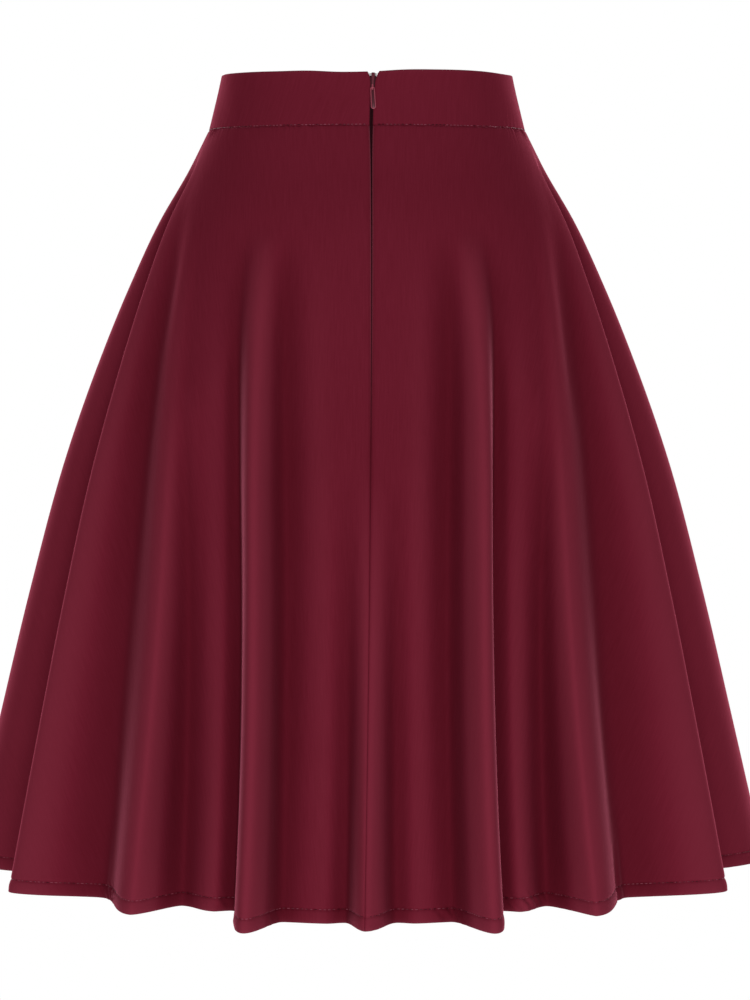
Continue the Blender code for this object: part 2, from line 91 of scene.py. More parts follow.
# %% The folds, in degrees round from centre back
Fold = namedtuple("Fold", "top hem bend start rise quick lean before after dip at sink deep")
FOLDS = (
    Fold(-180, -180, 1.0, 0.30, 0.018, 1.00, 0.000, 1.0, 1.0, -0.022, 0.50, 0.30, 1.0),
    Fold(-157, -162, 4.5, 0.24, 0.027, 0.80, -0.004, 1.1, 0.9, -0.032, 0.46, 0.28, 0.8),
    Fold(-134, -138, 4.5, 0.16, 0.021, 0.80, 0.006, 0.8, 1.1, -0.036, 0.52, 0.24, 0.8),
    Fold(-112, -117, 4.5, 0.10, 0.030, 0.80, -0.006, 1.0, 0.8, -0.034, 0.50, 0.16, 0.8),
    Fold(-88, -99, 2.0, 0.04, 0.040, 1.00, 0.000, 1.0, 1.3, -0.056, 0.62, 0.02, 0.5),
    Fold(-77, -59.5, 5.0, 0.03, 0.014, 0.70, -0.026, 0.8, 1.0, -0.030, 0.46, 0.12, 0.8),
    Fold(-66, -38.7, 3.3, 0.06, 0.006, 0.60, 0.010, 0.9, 1.0, -0.044, 0.42, 0.36, 0.8),
    Fold(-44, -26.5, 3.0, 0.32, -0.034, 0.70, 0.000, 1.0, 1.0, -0.042, 0.36, 0.24, 0.7),
    Fold(-31, -17.8, 2.2, 0.13, 0.038, 0.15, 0.010, 1.1, 1.0, -0.010, 0.46, 0.13, 0.15),
    Fold(-14, -6.0, 2.2, 0.45, -0.008, 1.00, 0.000, 1.0, 1.0, -0.012, 0.46, 0.42, 0.9),
    Fold(1.6, -0.2, 1.0, 0.42, 0.020, 1.00, 0.000, 1.0, 1.2, -0.012, 0.64, 0.42, 0.9),
    Fold(14, 7.4, 2.2, 0.45, -0.008, 1.00, 0.000, 1.0, 1.0, -0.010, 0.54, 0.13, 0.15),
    Fold(31, 17.4, 2.2, 0.13, 0.040, 0.15, -0.004, 1.0, 1.2, -0.041, 0.64, 0.24, 0.7),
    Fold(44, 26.5, 3.0, 0.32, -0.032, 0.70, 0.000, 1.0, 1.0, -0.044, 0.58, 0.36, 0.8),
    Fold(66, 37.3, 3.3, 0.06, 0.008, 0.60, -0.010, 1.0, 0.9, -0.032, 0.54, 0.12, 0.8),
    Fold(77, 60.5, 5.0, 0.03, 0.014, 0.70, 0.026, 1.0, 0.8, -0.056, 0.38, 0.02, 0.5),
    Fold(88, 103, 2.0, 0.04, 0.042, 1.00, 0.000, 1.3, 1.0, -0.036, 0.50, 0.14, 0.8),
    Fold(114, 121, 4.5, 0.12, 0.024, 0.80, 0.006, 0.8, 1.0, -0.032, 0.54, 0.22, 0.8),
    Fold(136, 141, 4.5, 0.14, 0.028, 0.80, -0.006, 1.1, 0.8, -0.036, 0.48, 0.28, 0.8),
    Fold(159, 160, 4.5, 0.26, 0.022, 0.80, 0.004, 0.9, 1.1, -0.018, 0.50, 0.30, 1.0),
    Fold(180, 180, 1.0, 0.30, 0.018, 1.00, 0.000, 1.0, 1.0, -0.022, 0.50, 0.30, 1.0),
)
FOLD_EASE = 0.06
START_EASE = 0.03
RIDGE_EASE = 0.04
SIDE_LEFT, CENTRE_BACK, SIDE_RIGHT = 4, 10, 16
WHOLE_TURN = len(FOLDS) - 1


def smooth_through(x, xs, ys):
    """Hermite cubics through the points (xs, ys), each slope a weighted mean of the two chords."""
    xs = np.asarray(xs, float)
    ys = np.asarray(ys, float)
    steps = np.diff(xs)
    chords = np.diff(ys) / steps
    slopes = np.empty_like(ys)
    slopes[1:-1] = (chords[:-1] * steps[1:] + chords[1:] * steps[:-1]) / (steps[:-1] + steps[1:])
    slopes[0] = chords[0]
    slopes[-1] = chords[-1]
    piece = np.clip(np.searchsorted(xs, x, side="right") - 1, 0, len(xs) - 2)
    width = steps[piece]
    s = (x - xs[piece]) / width
    return (
        (1 + 2 * s) * (1 - s) ** 2 * ys[piece]
        + s * (1 - s) ** 2 * width * slopes[piece]
        + s**2 * (3 - 2 * s) * ys[piece + 1]
        + s**2 * (s - 1) * width * slopes[piece + 1]
    )


def half_sizes(height):
    """Half the width and depth of the oval at a height: band above 0, skirt below."""
    sizes = []
    for field in ("half_width", "half_depth"):
        below, above = (
            smooth_through(np.maximum(along, 0), [s.along for s in rows], [getattr(s, field) for s in rows])
            for along, rows in ((-height, SKIRT_SECTIONS), (height, BAND_SECTIONS))
        )
        sizes.append(np.where(height < 0, below, above))
    return sizes


def fold_angle(fold, share):
    """hem + (top - hem) (1 - share)^bend, share being the way down from waist to hem."""
    return fold.hem + (fold.top - fold.hem) * np.clip(1 - share, 0, 1) ** fold.bend


def shaped(x, power, ease):
    """Runs from 0 to 1 with x, early for a power under 1 and late for one over 1. The ease keeps
    its beginning gentle, so that a fold sets in softly and a ridge stays rounder than the cloth is
    thick: ((x + ease)^power - ease^power) / ((1 + ease)^power - ease^power)."""
    low = ease**power
    return ((x + ease) ** power - low) / ((1 + ease) ** power - low)


def fold_growth(start, power, share):
    """x^2 / (x + ease), scaled to reach 1 at the hem and shaped, x being the way from the start."""
    below = np.clip((share - start) / (1 - start), 0, None)
    return shaped(below**2 / (below + FOLD_EASE) * (1 + FOLD_EASE), power, START_EASE)


def fold_lines(share):
    """Angle, offset and lean of every ridge and hollow in turn at a share of the way down."""
    lines = []
    for fold, after in zip(FOLDS, FOLDS[1:] + FOLDS[:1]):
        here = fold_angle(fold, share)
        growth = fold_growth(fold.start, fold.quick, share)
        lines.append((here, fold.rise * growth, fold.lean * growth))
        hollow = here + (fold_angle(after, share) - here) * fold.at
        lines.append((hollow, fold.dip * fold_growth(fold.sink, fold.deep, share), 0 * growth))
    return lines[:-1]


def across_folds(angle, lines, value):
    """One value of the lines carried round: over each flank it changes by (1 - cos(pi s)) / 2, s
    being the shaped way from the ridge to the hollow. A shape under 1 leaves the ridge steeply."""
    shapes = [shape for fold, after in zip(FOLDS, FOLDS[1:]) for shape in (fold.after, after.before)]
    angle = (angle + 180) % 360 - 180
    total = lines[0][value] + 0 * angle
    for k, shape in enumerate(shapes):
        across = np.clip((angle - lines[k][0]) / (lines[k + 1][0] - lines[k][0]), 0, 1)
        falls = k % 2 == 0
        from_ridge = across if falls else 1 - across
        wave = (1 - np.cos(math.pi * shaped(from_ridge, shape, RIDGE_EASE))) / 2
        total = total + (lines[k + 1][value] - lines[k][value]) * (wave if falls else 1 - wave)
    return total


def garment_surface(angle, height):
    """The oval's point at that angle, moved out along the oval's normal by the folds' offset and
    along the oval by their lean, which makes a flute hang over the cloth on its outer side."""
    half_width, half_depth = half_sizes(height)
    turn = np.radians(angle)
    out_x = np.sin(turn) / half_width
    out_y = -np.cos(turn) / half_depth
    size = np.hypot(out_x, out_y)
    lines = fold_lines(np.clip(-height, 0, None) / SKIRT_LENGTH)
    out = across_folds(angle, lines, 1) / size
    aside = across_folds(angle, lines, 2) / size
    x = half_width * np.sin(turn) + out * out_x - aside * out_y
    y = -half_depth * np.cos(turn) + out * out_y + aside * out_x
    return np.stack([x, y, height + 0 * x], axis=-1)


def unit(vectors):
    return vectors / np.linalg.norm(vectors, axis=-1, keepdims=True)


def outward(angle, height, turn=0.02, drop=0.0002):
    """The surface's normal: the unit cross product of small steps down and round."""
    across = garment_surface(angle + turn, height) - garment_surface(angle - turn, height)
    down = garment_surface(angle, height - drop) - garment_surface(angle, height)
    return unit(np.cross(down, across))


def degrees_for(distance, angle, height):
    """The angle that a distance along the oval spans: distance over the oval's speed there."""
    half_width, half_depth = half_sizes(height)
    turn = np.radians(angle)
    return np.degrees(distance / np.hypot(half_width * np.cos(turn), half_depth * np.sin(turn)))


print(len(FOLDS) - 1, "folds; section at the hem", np.round(half_sizes(np.array(-SKIRT_LENGTH)), 4))

# %% [markdown]
# ## Creases, puckers and the hem's rope
# The flutes are the big form. A real skirt also has small unevenness, and it is what makes cloth
# look like cloth: a shallow dent here and there, tiny puckers where the waist seam takes up the
# skirt's fullness, and a slight twist, called roping, in a hem that was turned up on a curve.
# Each of these is one more offset along the surface's normal. The dents are listed one by one.

# %% Listed creases and the small unevenness of sewn cloth
# line is where the crease runs, counted in flanks from fold 0 (two to a fold), so it follows the
# folds. top and foot are shares of the way down; width and depth are in metres.
Crease = namedtuple("Crease", "line top foot width depth")
CREASES = (
    Crease(9.60, 0.30, 0.66, 0.010, -0.0012),
    Crease(10.70, 0.16, 0.46, 0.009, 0.0012),
    Crease(10.40, 0.55, 0.98, 0.013, -0.0014),
    Crease(10.85, 0.88, 1.12, 0.007, -0.0034),
    Crease(10.62, 0.93, 1.07, 0.005, -0.0016),
    Crease(11.35, 0.10, 0.30, 0.010, -0.0016),
    Crease(11.20, 0.50, 0.90, 0.014, 0.0012),
    Crease(13.60, 0.46, 0.80, 0.010, 0.0010),
    Crease(16.80, 0.60, 0.97, 0.008, -0.0010),
    Crease(18.55, 0.34, 0.66, 0.011, 0.0010),
    Crease(21.50, 0.52, 0.90, 0.010, -0.0012),
    Crease(23.35, 0.20, 0.42, 0.009, -0.0010),
    Crease(26.45, 0.40, 0.85, 0.012, 0.0011),
    Crease(28.50, 0.12, 0.40, 0.009, -0.0015),
    Crease(28.80, 0.62, 1.00, 0.013, -0.0014),
    Crease(29.05, 0.88, 1.12, 0.006, -0.0030),
    Crease(28.78, 0.92, 1.08, 0.005, -0.0018),
    Crease(27.55, 0.90, 1.10, 0.006, -0.0018),
    Crease(29.40, 0.44, 0.86, 0.014, 0.0012),
    Crease(31.30, 0.30, 0.62, 0.010, -0.0012),
    Crease(33.40, 0.44, 0.90, 0.012, 0.0012),
    Crease(35.55, 0.30, 0.60, 0.010, -0.0012),
    Crease(38.40, 0.58, 0.96, 0.011, -0.0013),
    Crease(1.45, 0.36, 0.74, 0.012, 0.0011),
    Crease(3.55, 0.50, 0.94, 0.010, -0.0014),
    Crease(5.40, 0.22, 0.50, 0.009, -0.0012),
    Crease(7.55, 0.48, 0.88, 0.012, 0.0012),
)
HEM_DEPTH = 0.0100
ROPE_PITCH = 0.0092
ROPE_DEPTH = 0.0010
PUCKER_PITCH = 0.0052
PUCKER_DEPTH = 0.00045
PUCKER_FADE = 0.0045
STITCH_DIP = 0.00075
HEM_SWELL = 0.00045
DASH_PITCH = 0.0045
DITCH_WIDTH = 0.0010
HOLLOW_REACHES = (0.009, 0.018)
HOLLOW_DEPTH = 0.006


def shade_and_highlight_mark(angle, height):
    """How far a point lies below its neighbours a little way to either side, from -1 on a sharp
    ridge to 1 in a sharp hollow: tanh((mean of neighbours - here) / depth). The cloth's colour
    takes it as painted shade in the hollows and a painted highlight on the ridges."""
    lines = fold_lines(np.clip(-height, 0, None) / SKIRT_LENGTH)
    here = across_folds(angle, lines, 1)
    around = 0
    for reach in HOLLOW_REACHES:
        for side in (-1, 1):
            around = around + across_folds(angle + side * degrees_for(reach, angle, height), lines, 1)
    return np.tanh((around / (2 * len(HOLLOW_REACHES)) - here) / HOLLOW_DEPTH)


def wander(x):
    """A curve that never repeats evenly: the mean of three sines with unlike periods."""
    return (np.sin(x) + np.sin(1.37 * x + 1.3) + np.sin(2.71 * x + 4.1)) / 3


def line_angle(line, share):
    """The angle of a place between ridge and hollow lines, line counting both from fold 0."""
    angles = [place[0] for place in fold_lines(share)]
    first = int(line)
    return angles[first] + (angles[first + 1] - angles[first]) * (line - first)


def crease_offset(angle, height):
    """Each crease is depth exp(-(d / width)^2) across and a half sine along its length."""
    share = np.clip(-height / SKIRT_LENGTH, 0, 1)
    half_width, half_depth = half_sizes(height)
    turn = np.radians(angle)
    speed = np.hypot(half_width * np.cos(turn), half_depth * np.sin(turn))
    total = 0 * angle
    for crease in CREASES:
        away = (angle - line_angle(crease.line, share) + 180) % 360 - 180
        along = np.clip((share - crease.top) / (crease.foot - crease.top), 0, 1)
        across = np.radians(away) * speed / crease.width
        total = total + crease.depth * np.exp(-(across**2)) * np.sin(math.pi * along)
    return total


def hem_offset(arc, above):
    """At the hem's stitches the cloth dips, below them it swells, and a wave leans across in
    patches: strength sin(2 pi (arc + above) / pitch)."""
    dip = -STITCH_DIP * np.exp(-(((above - HEM_DEPTH) / 0.0010) ** 2))
    swell = HEM_SWELL * np.exp(-(((above - HEM_DEPTH / 2) / 0.0030) ** 2))
    strength = np.clip(0.25 + 1.3 * wander(arc / 0.031), 0.08, 1) ** 2
    window = np.exp(-(((above - HEM_DEPTH * 0.6) / 0.0060) ** 2))
    wave = np.sin(2 * math.pi * (arc + 0.8 * above) / ROPE_PITCH + 2.2 * wander(arc / 0.023))
    return dip + swell + ROPE_DEPTH * strength * wave * window


def waist_offset(arc, below):
    """Small puckers that fade within a centimetre of the waist seam."""
    strength = np.clip(0.45 + wander(arc / 0.019), 0.1, 1)
    wave = np.sin(2 * math.pi * arc / PUCKER_PITCH + 2.5 * wander(arc / 0.011))
    return PUCKER_DEPTH * strength * wave * np.exp(-below / PUCKER_FADE)


def seam_shade_mark(arc, away):
    """Painted shade along a seam's ditch, a millimetre wide and darker at each stitch:
    exp(-(d / width)^2) times a wave.
    """
    dashes = 0.40 + 0.75 * np.sin(2 * math.pi * arc / DASH_PITCH + 2.4 * wander(arc / 0.013))
    return np.clip(dashes, 0, 1) * np.exp(-((away / DITCH_WIDTH) ** 2))


print(len(CREASES), "creases, hem turned up", HEM_DEPTH * 1000, "mm")

# %% [markdown]
# ## Mesh helpers
# A panel is a grid of points with rows going down and columns going round. Two such grids, the
# cloth's outer and inner face, are closed round the edges into one thin shell. Small parts such as
# stitches, coils and the slider are tubes: a row of rings joined one to the next and capped.
# numpy works all points out at once, and foreach_set hands them to Blender.

# %% Grids and tubes become meshes
def new_piece(name, points, quads, triangles=(), flat=None, marks=None):
    """A smooth mesh object from its points and faces, with the flat cut as its UV map and a named
    number at each point for each mark."""
    mesh = bpy.data.meshes.new(name)
    quads = np.asarray(quads, np.int32).reshape(-1, 4)
    triangles = np.asarray(triangles, np.int32).reshape(-1, 3)
    corners = np.concatenate([quads.ravel(), triangles.ravel()])
    totals = np.concatenate([np.full(len(quads), 4), np.full(len(triangles), 3)]).astype(np.int32)
    mesh.vertices.add(len(points))
    mesh.vertices.foreach_set("co", np.asarray(points, np.float32).ravel())
    mesh.loops.add(len(corners))
    mesh.loops.foreach_set("vertex_index", corners)
    mesh.polygons.add(len(totals))
    mesh.polygons.foreach_set("loop_start", np.concatenate([[0], np.cumsum(totals)[:-1]]).astype(np.int32))
    mesh.polygons.foreach_set("loop_total", totals)
    mesh.update(calc_edges=True)
    if flat is not None:
        mesh.uv_layers.new(name="flat").data.foreach_set("uv", flat[corners].astype(np.float32).ravel())
    for mark, values in (marks or {}).items():
        mesh.attributes.new(mark, "FLOAT", "POINT").data.foreach_set("value", values.astype(np.float32))
    mesh.shade_smooth()
    mesh.validate()
    piece = bpy.data.objects.new(name, mesh)
    bpy.context.scene.collection.objects.link(piece)
    return piece


def closed_shell(name, outer, inner, flat, edge, hollow=None):
    """Outer and inner grids, joined round their border. Faces of the outer grid point outwards. The
    marks edge and hollow are numbers on the grid: edge for wear and a painted highlight, hollow
    for painted shade and a painted highlight; what is a hollow outside is a ridge inside."""
    rows, columns = outer.shape[:2]
    index = np.arange(rows * columns).reshape(rows, columns)
    under = index + rows * columns

    def quads(*corners):
        return np.stack([c.ravel() for c in corners], axis=1)

    faces = np.concatenate(
        [
            quads(index[:-1, :-1], index[1:, :-1], index[1:, 1:], index[:-1, 1:]),
            quads(under[:-1, :-1], under[:-1, 1:], under[1:, 1:], under[1:, :-1]),
            quads(index[0, :-1], index[0, 1:], under[0, 1:], under[0, :-1]),
            quads(index[-1, :-1], under[-1, :-1], under[-1, 1:], index[-1, 1:]),
            quads(index[:-1, 0], under[:-1, 0], under[1:, 0], index[1:, 0]),
            quads(index[:-1, -1], index[1:, -1], under[1:, -1], under[:-1, -1]),
        ]
    )
    points = np.concatenate([outer.reshape(-1, 3), inner.reshape(-1, 3)])
    flat = flat.reshape(-1, 2)
    marks = {"edge": np.tile(edge.ravel(), 2)}
    if hollow is not None:
        marks["hollow"] = np.concatenate([hollow.ravel(), -hollow.ravel()])
    return new_piece(name, points, faces, (), np.concatenate([flat, flat]), marks)


def tube_faces(rings, around, closed):
    """Quads between successive rings and, on an open tube, a fan over each end. The two fans'
    middles are the points after the rings."""
    index = np.arange(rings * around).reshape(rings, around)
    ahead = np.roll(index, -1, axis=0) if closed else index[1:]
    here = index if closed else index[:-1]
    quads = np.stack(
        [here, np.roll(here, -1, axis=1), np.roll(ahead, -1, axis=1), ahead], axis=-1
    ).reshape(-1, 4)
    if closed:
        return quads, np.empty((0, 3), int)
    first, last = rings * around, rings * around + 1
    start = np.stack([np.roll(index[0], -1), index[0], np.full(around, first)], axis=1)
    end = np.stack([index[-1], np.roll(index[-1], -1), np.full(around, last)], axis=1)
    return quads, np.concatenate([start, end])


def tubes(name, rings, closed=False):
    """One piece from many like tubes: rings is [tube, ring, point round it, xyz]."""
    count, along, around = rings.shape[:3]
    quads, triangles = tube_faces(along, around, closed)
    points = rings.reshape(count, -1, 3)
    if not closed:
        points = np.concatenate([points, rings[:, [0, -1]].mean(axis=2)], axis=1)
    step = np.arange(count)[:, None, None] * points.shape[1]
    quads = (quads[None] + step).reshape(-1, 4)
    triangles = (triangles[None] + step).reshape(-1, 3)
    return new_piece(name, points.reshape(-1, 3), quads, triangles)


def join(name, *parts):
    """Several meshes as one piece."""
    with bpy.context.temp_override(
        active_object=parts[0], selected_objects=parts, selected_editable_objects=parts
    ):
        bpy.ops.object.join()
    parts[0].name = name
    parts[0].data.name = name
    return parts[0]


def count_triangles(piece):
    return sum(len(face.vertices) - 2 for face in piece.data.polygons)


# %% [markdown]
# ## The panels
# The skirt is three panels, two at the back and one at the front, sewn at the sides and at centre
# back. On the real thing each is a sector of a ring cut flat. Working out how far every point lies
# along and across its panel gives back that flat sector, and it serves as the UV map, so the weave
# turns over the flare as it does on cut cloth. Close to each edge the grid's lines crowd, because
# there the cloth rolls over, and a roll needs points.

# %% Where the panels' rows and columns lie
CLOTH = 0.0010
EXTRA_LAYER = 0.0007
ALLOWANCE = 0.0105
WAIST_DITCH = 0.0005
SEAM_DIP = 0.0011
SEAM_DIP_WIDTH = 0.0016
SEAM_DIP_REACH = 1.3
SEAM_SHADE = 0.0010
LAYER_STEP = 0.0008
EDGE_FADE = 0.0012
LIP_WIDTH = 0.0007
LIP_HIGHLIGHT = 1.9
BAND_WALL = 0.0022
SEAM_GAP = 0.0003
SEAM_LAP = 0.0002
EDGE_STEPS = np.array([0, 0.05, 0.16, 0.34, 0.62, 0.95, 1.6, 2.8, 4.8]) / 1000
HEM_STEPS = np.array(
    [0, 0.05, 0.16, 0.34, 0.62, 0.95, 1.6, 2.6, 3.7, 4.8, 5.9]
    + [7.0, 8.0, 8.8, 9.4, 10, 10.6, 11.3, 12, 13, 14.5, 16.5]
) / 1000
HEM_STITCH_STEP = 15
SKIRT_ROWS = 150
FLANK_SHARE = 5
BAND_ROWS = 18
BACK_COLUMNS = 214
FRONT_COLUMNS = 232
BAND_BACK_COLUMNS = 90
BAND_FRONT_COLUMNS = 170
PANEL_INSET = 0.026
BAND_INSET = 0.07
HEM_TO_WAIST = 0.28


def smooth_step(x):
    x = np.clip(x, 0, 1)
    return x * x * (3 - 2 * x)


def skirt_rows():
    """Heights from the waist seam to the hem: crowded at both ends, even between."""
    top = SEAM_LAP / 2 - EDGE_STEPS
    hem = HEM_STEPS - SKIRT_LENGTH
    between = np.linspace(top[-1], hem[-1], SKIRT_ROWS + 2)[1:-1]
    return np.concatenate([top, between, hem[::-1]])


def centre_back_angle(height):
    """The zip and seam stray a little to the wearer's right, and lean further in the band."""
    seam = fold_angle(FOLDS[CENTRE_BACK], np.clip(-height / SKIRT_LENGTH, 0, 1))
    return seam + 1.0 * (np.clip(height, 0, None) / BAND_HEIGHT) ** 1.5


BAND_GAP = 0.0026
NOTCH_GAP = 0.0066
NOTCH_DEPTH = 0.0045
PLACKET_LENGTH = 0.020
SLIT = 0.0009


def centre_back_gap(height):
    """gap + notch exp(-down / depth) in the band; below it the gap closes as exp(-down / length) to
    the slit over the zip, which narrows to nothing where the zip ends and plain seam begins."""
    from_top = np.clip(BAND_HEIGHT - height, 0, None)
    band = BAND_GAP + NOTCH_GAP * np.exp(-from_top / NOTCH_DEPTH)
    slit = (SLIT + SEAM_LAP) * smooth_step(1.15 * (1 - height / ZIP_FOOT)) - SEAM_LAP
    skirt = slit + (BAND_GAP - SLIT) * np.exp(np.minimum(height, 0) / PLACKET_LENGTH)
    return np.where(height > 0, band, skirt)


def seam_gap(height):
    """A sewn seam is shut: its two edges lap by a hair, so that no light comes through."""
    return -SEAM_LAP + 0 * height


def with_edge_columns(lines, height, first_gap, last_gap, columns, inset):
    """Columns at set distances from both edges, and between them columns that follow the lines,
    more of them in a wide flank: each takes its mean width and a little more."""
    first = lines[:, 0] + degrees_for(first_gap(height) / 2, lines[:, 0], height)
    last = lines[:, -1] - degrees_for(last_gap(height) / 2, lines[:, -1], height)
    start = first[:, None] + degrees_for(EDGE_STEPS[None, :], lines[:, :1], height[:, None])
    end = last[:, None] - degrees_for(EDGE_STEPS[None, ::-1], lines[:, -1:], height[:, None])
    widths = np.abs(np.diff(lines.mean(axis=0))) + FLANK_SHARE
    stops = np.concatenate([[0], np.cumsum(widths)]) / widths.sum()
    place = np.interp(np.linspace(inset, 1 - inset, columns), stops, np.arange(len(stops)))
    flank = np.minimum(place.astype(int), len(widths) - 1)
    between = lines[:, flank] + (lines[:, flank + 1] - lines[:, flank]) * (place - flank)
    return np.concatenate([start, between, end], axis=1)


def lengths_along(points, axis):
    """Running length of the polylines that the grid's rows (axis 1) or columns (axis 0) make."""
    steps = np.linalg.norm(np.diff(points, axis=axis), axis=-1)
    start = np.zeros_like(steps.take([0], axis=axis))
    return np.concatenate([start, np.cumsum(steps, axis=axis)], axis=axis)


def rolled_faces(face, normal, offset, thickness, border):
    """Outer and inner points of a wall whose edge is round: within half a thickness of the border
    both faces draw in by h - sqrt(h^2 - (h - d)^2), h being half the thickness."""
    half = thickness / 2
    inside = np.clip(half - np.maximum(border, 0.04 * half), 0, None)
    draw = half - np.sqrt(half**2 - inside**2)
    outer = face + normal * (offset - draw)[..., None]
    inner = face + normal * (offset - thickness + draw)[..., None]
    return outer, inner


print(len(skirt_rows()), "rows from waist to hem")

# %% The three skirt panels
Cut = namedtuple("Cut", "inner_radius sweep slant flat area")
Panel = namedtuple("Panel", "piece flat area grid normals")
skirt_height = skirt_rows()
skirt_share = -skirt_height / SKIRT_LENGTH


def ring_sector(waist, hem, slant):
    """The flat cut: a ring sector with those two arcs, which lie a slant apart. sweep is
    (hem - waist) / slant and the inner radius waist / sweep."""
    sweep = (hem - waist) / slant
    inner = waist / sweep
    outer = inner + slant
    flat = (2 * outer * math.sin(sweep / 2), outer - inner * math.cos(sweep / 2))
    return Cut(inner, sweep, slant, flat, sweep * (outer**2 - inner**2) / 2)


def lip_highlight_mark(from_edge, gap):
    """1 on an edge that stands open, such as the zip's lips, and 0 on one that is sewn shut. It marks
    where a painted highlight goes along the lips.
    """
    stands_open = np.clip(gap(skirt_height) / LIP_WIDTH, 0, 1)[:, None]
    return stands_open * np.exp(-((from_edge / LIP_WIDTH) ** 2))


def skirt_panel(name, first, last, first_gap, last_gap, columns, grain):
    """A panel from one fold's ridge line to another's, with its hem, allowances and creases. grain
    is the share of the way across at which the threads run straight down."""
    lines = [place[0] for place in fold_lines(skirt_share)]
    around = lines + [line + 360 for line in lines[1:]]
    lines = np.stack(around[2 * first : 2 * last + 1], axis=1)
    angle = with_edge_columns(lines, skirt_height, first_gap, last_gap, columns, PANEL_INSET)
    height = np.repeat(skirt_height[:, None], angle.shape[1], axis=1)
    face = garment_surface(angle, height)
    normal = outward(angle, height)
    arc = lengths_along(face, 1)
    slant = lengths_along(face, 0)
    from_side = np.minimum(arc, arc[:, -1:] - arc)
    above_hem = slant[-1:] - slant
    border = np.minimum(np.minimum(from_side, above_hem), slant)
    hem_arc = np.repeat(arc[-1:], len(arc), axis=0) + 0.7 * first
    waist_arc = hem_arc * HEM_TO_WAIST
    offset = crease_offset(angle, height) + hem_offset(hem_arc, above_hem)
    offset = offset + waist_offset(waist_arc, slant) - WAIST_DITCH * np.exp(-slant / EDGE_FADE)
    seam_dip = SEAM_DIP * np.exp(-((from_side / SEAM_DIP_WIDTH) ** 2))
    offset = offset - seam_dip * np.clip(SEAM_DIP_REACH - skirt_share, 0, 1)[:, None]
    sewn = 1 - smooth_step((from_side - ALLOWANCE) / LAYER_STEP)
    turned = 1 - smooth_step((above_hem - HEM_DEPTH - EDGE_FADE) / LAYER_STEP)
    thickness = CLOTH + EXTRA_LAYER * np.maximum(sewn, turned)
    outer, inner = rolled_faces(face, normal, offset, thickness, border)
    cut = ring_sector(arc[0, -1], arc[-1, -1], slant[-1].mean())
    turn = cut.sweep * (arc / arc[:, -1:] - grain)
    radius = cut.inner_radius + slant
    flat = np.stack([radius * np.sin(turn), -radius * np.cos(turn)], axis=-1)
    # edge: paler along the hem's fold with wear, and a painted highlight along the zip's lips.
    lips = lip_highlight_mark(arc, first_gap) + lip_highlight_mark(arc[:, -1:] - arc, last_gap)
    edge = np.exp(-above_hem / EDGE_FADE) + LIP_HIGHLIGHT * lips
    # hollow: painted shade in the fold hollows, the seams' ditches and along the hem's stitches, and a
    # painted highlight on the ridges; the zip's lips get no seam shade.
    hollow = shade_and_highlight_mark(angle, height) + seam_shade_mark(waist_arc, slant)
    hollow = hollow + 0.7 * seam_shade_mark(hem_arc, np.abs(above_hem - HEM_DEPTH))
    hollow = hollow + (1 - np.clip(2 * lips, 0, 1)) * np.exp(-from_side / SEAM_SHADE)
    panel = closed_shell(name, outer, inner, flat, edge, np.clip(hollow, -1, 1.6))
    print(name, count_triangles(panel), "triangles, cut", np.round(cut.flat, 3), "m, ring's inner radius")
    print(f"  {cut.inner_radius:.3f} m, sweep {math.degrees(cut.sweep):.1f} degrees, slant {cut.slant:.3f} m")
    return Panel(panel, cut.flat, cut.area, outer, normal)


back_left = skirt_panel(
    "back_panel_left", SIDE_LEFT, CENTRE_BACK, seam_gap, centre_back_gap, BACK_COLUMNS, 1.0
)
back_right = skirt_panel(
    "back_panel_right", CENTRE_BACK, SIDE_RIGHT, centre_back_gap, seam_gap, BACK_COLUMNS, 0.0
)
front = skirt_panel(
    "front_panel", SIDE_RIGHT, WHOLE_TURN + SIDE_LEFT, seam_gap, seam_gap, FRONT_COLUMNS, 0.5
)

# %% [markdown]
# ## The waistband
# The band is a strip of the same cloth, folded along its top edge, so it is thicker than the
# skirt and its top is a fold, not a cut edge. It was pressed flat and holds its shape, but its top
# edge is never quite level: it drops a little on both sides of the zip.

# %% Three lengths of band
Drop = namedtuple("Drop", "angle drop")
BAND_TOP_DROPS = (
    Drop(-180, 0.0004),
    Drop(-90, 0.0002),
    Drop(-62, 0.0006),
    Drop(-38, 0.0012),
    Drop(-22, 0.0016),
    Drop(-10, 0.0028),
    Drop(0, 0.0026),
    Drop(4, 0.0023),
    Drop(12, 0.0012),
    Drop(30, 0.0003),
    Drop(50, 0.0002),
    Drop(66, 0.0010),
    Drop(90, 0.0004),
    Drop(180, 0.0004),
)


def band_top(angle):
    """The band's top edge: its height less the drops, smoothed between them."""
    around = (angle + 180) % 360 - 180
    drop = smooth_through(around, [d.angle for d in BAND_TOP_DROPS], [d.drop for d in BAND_TOP_DROPS])
    return BAND_HEIGHT - drop


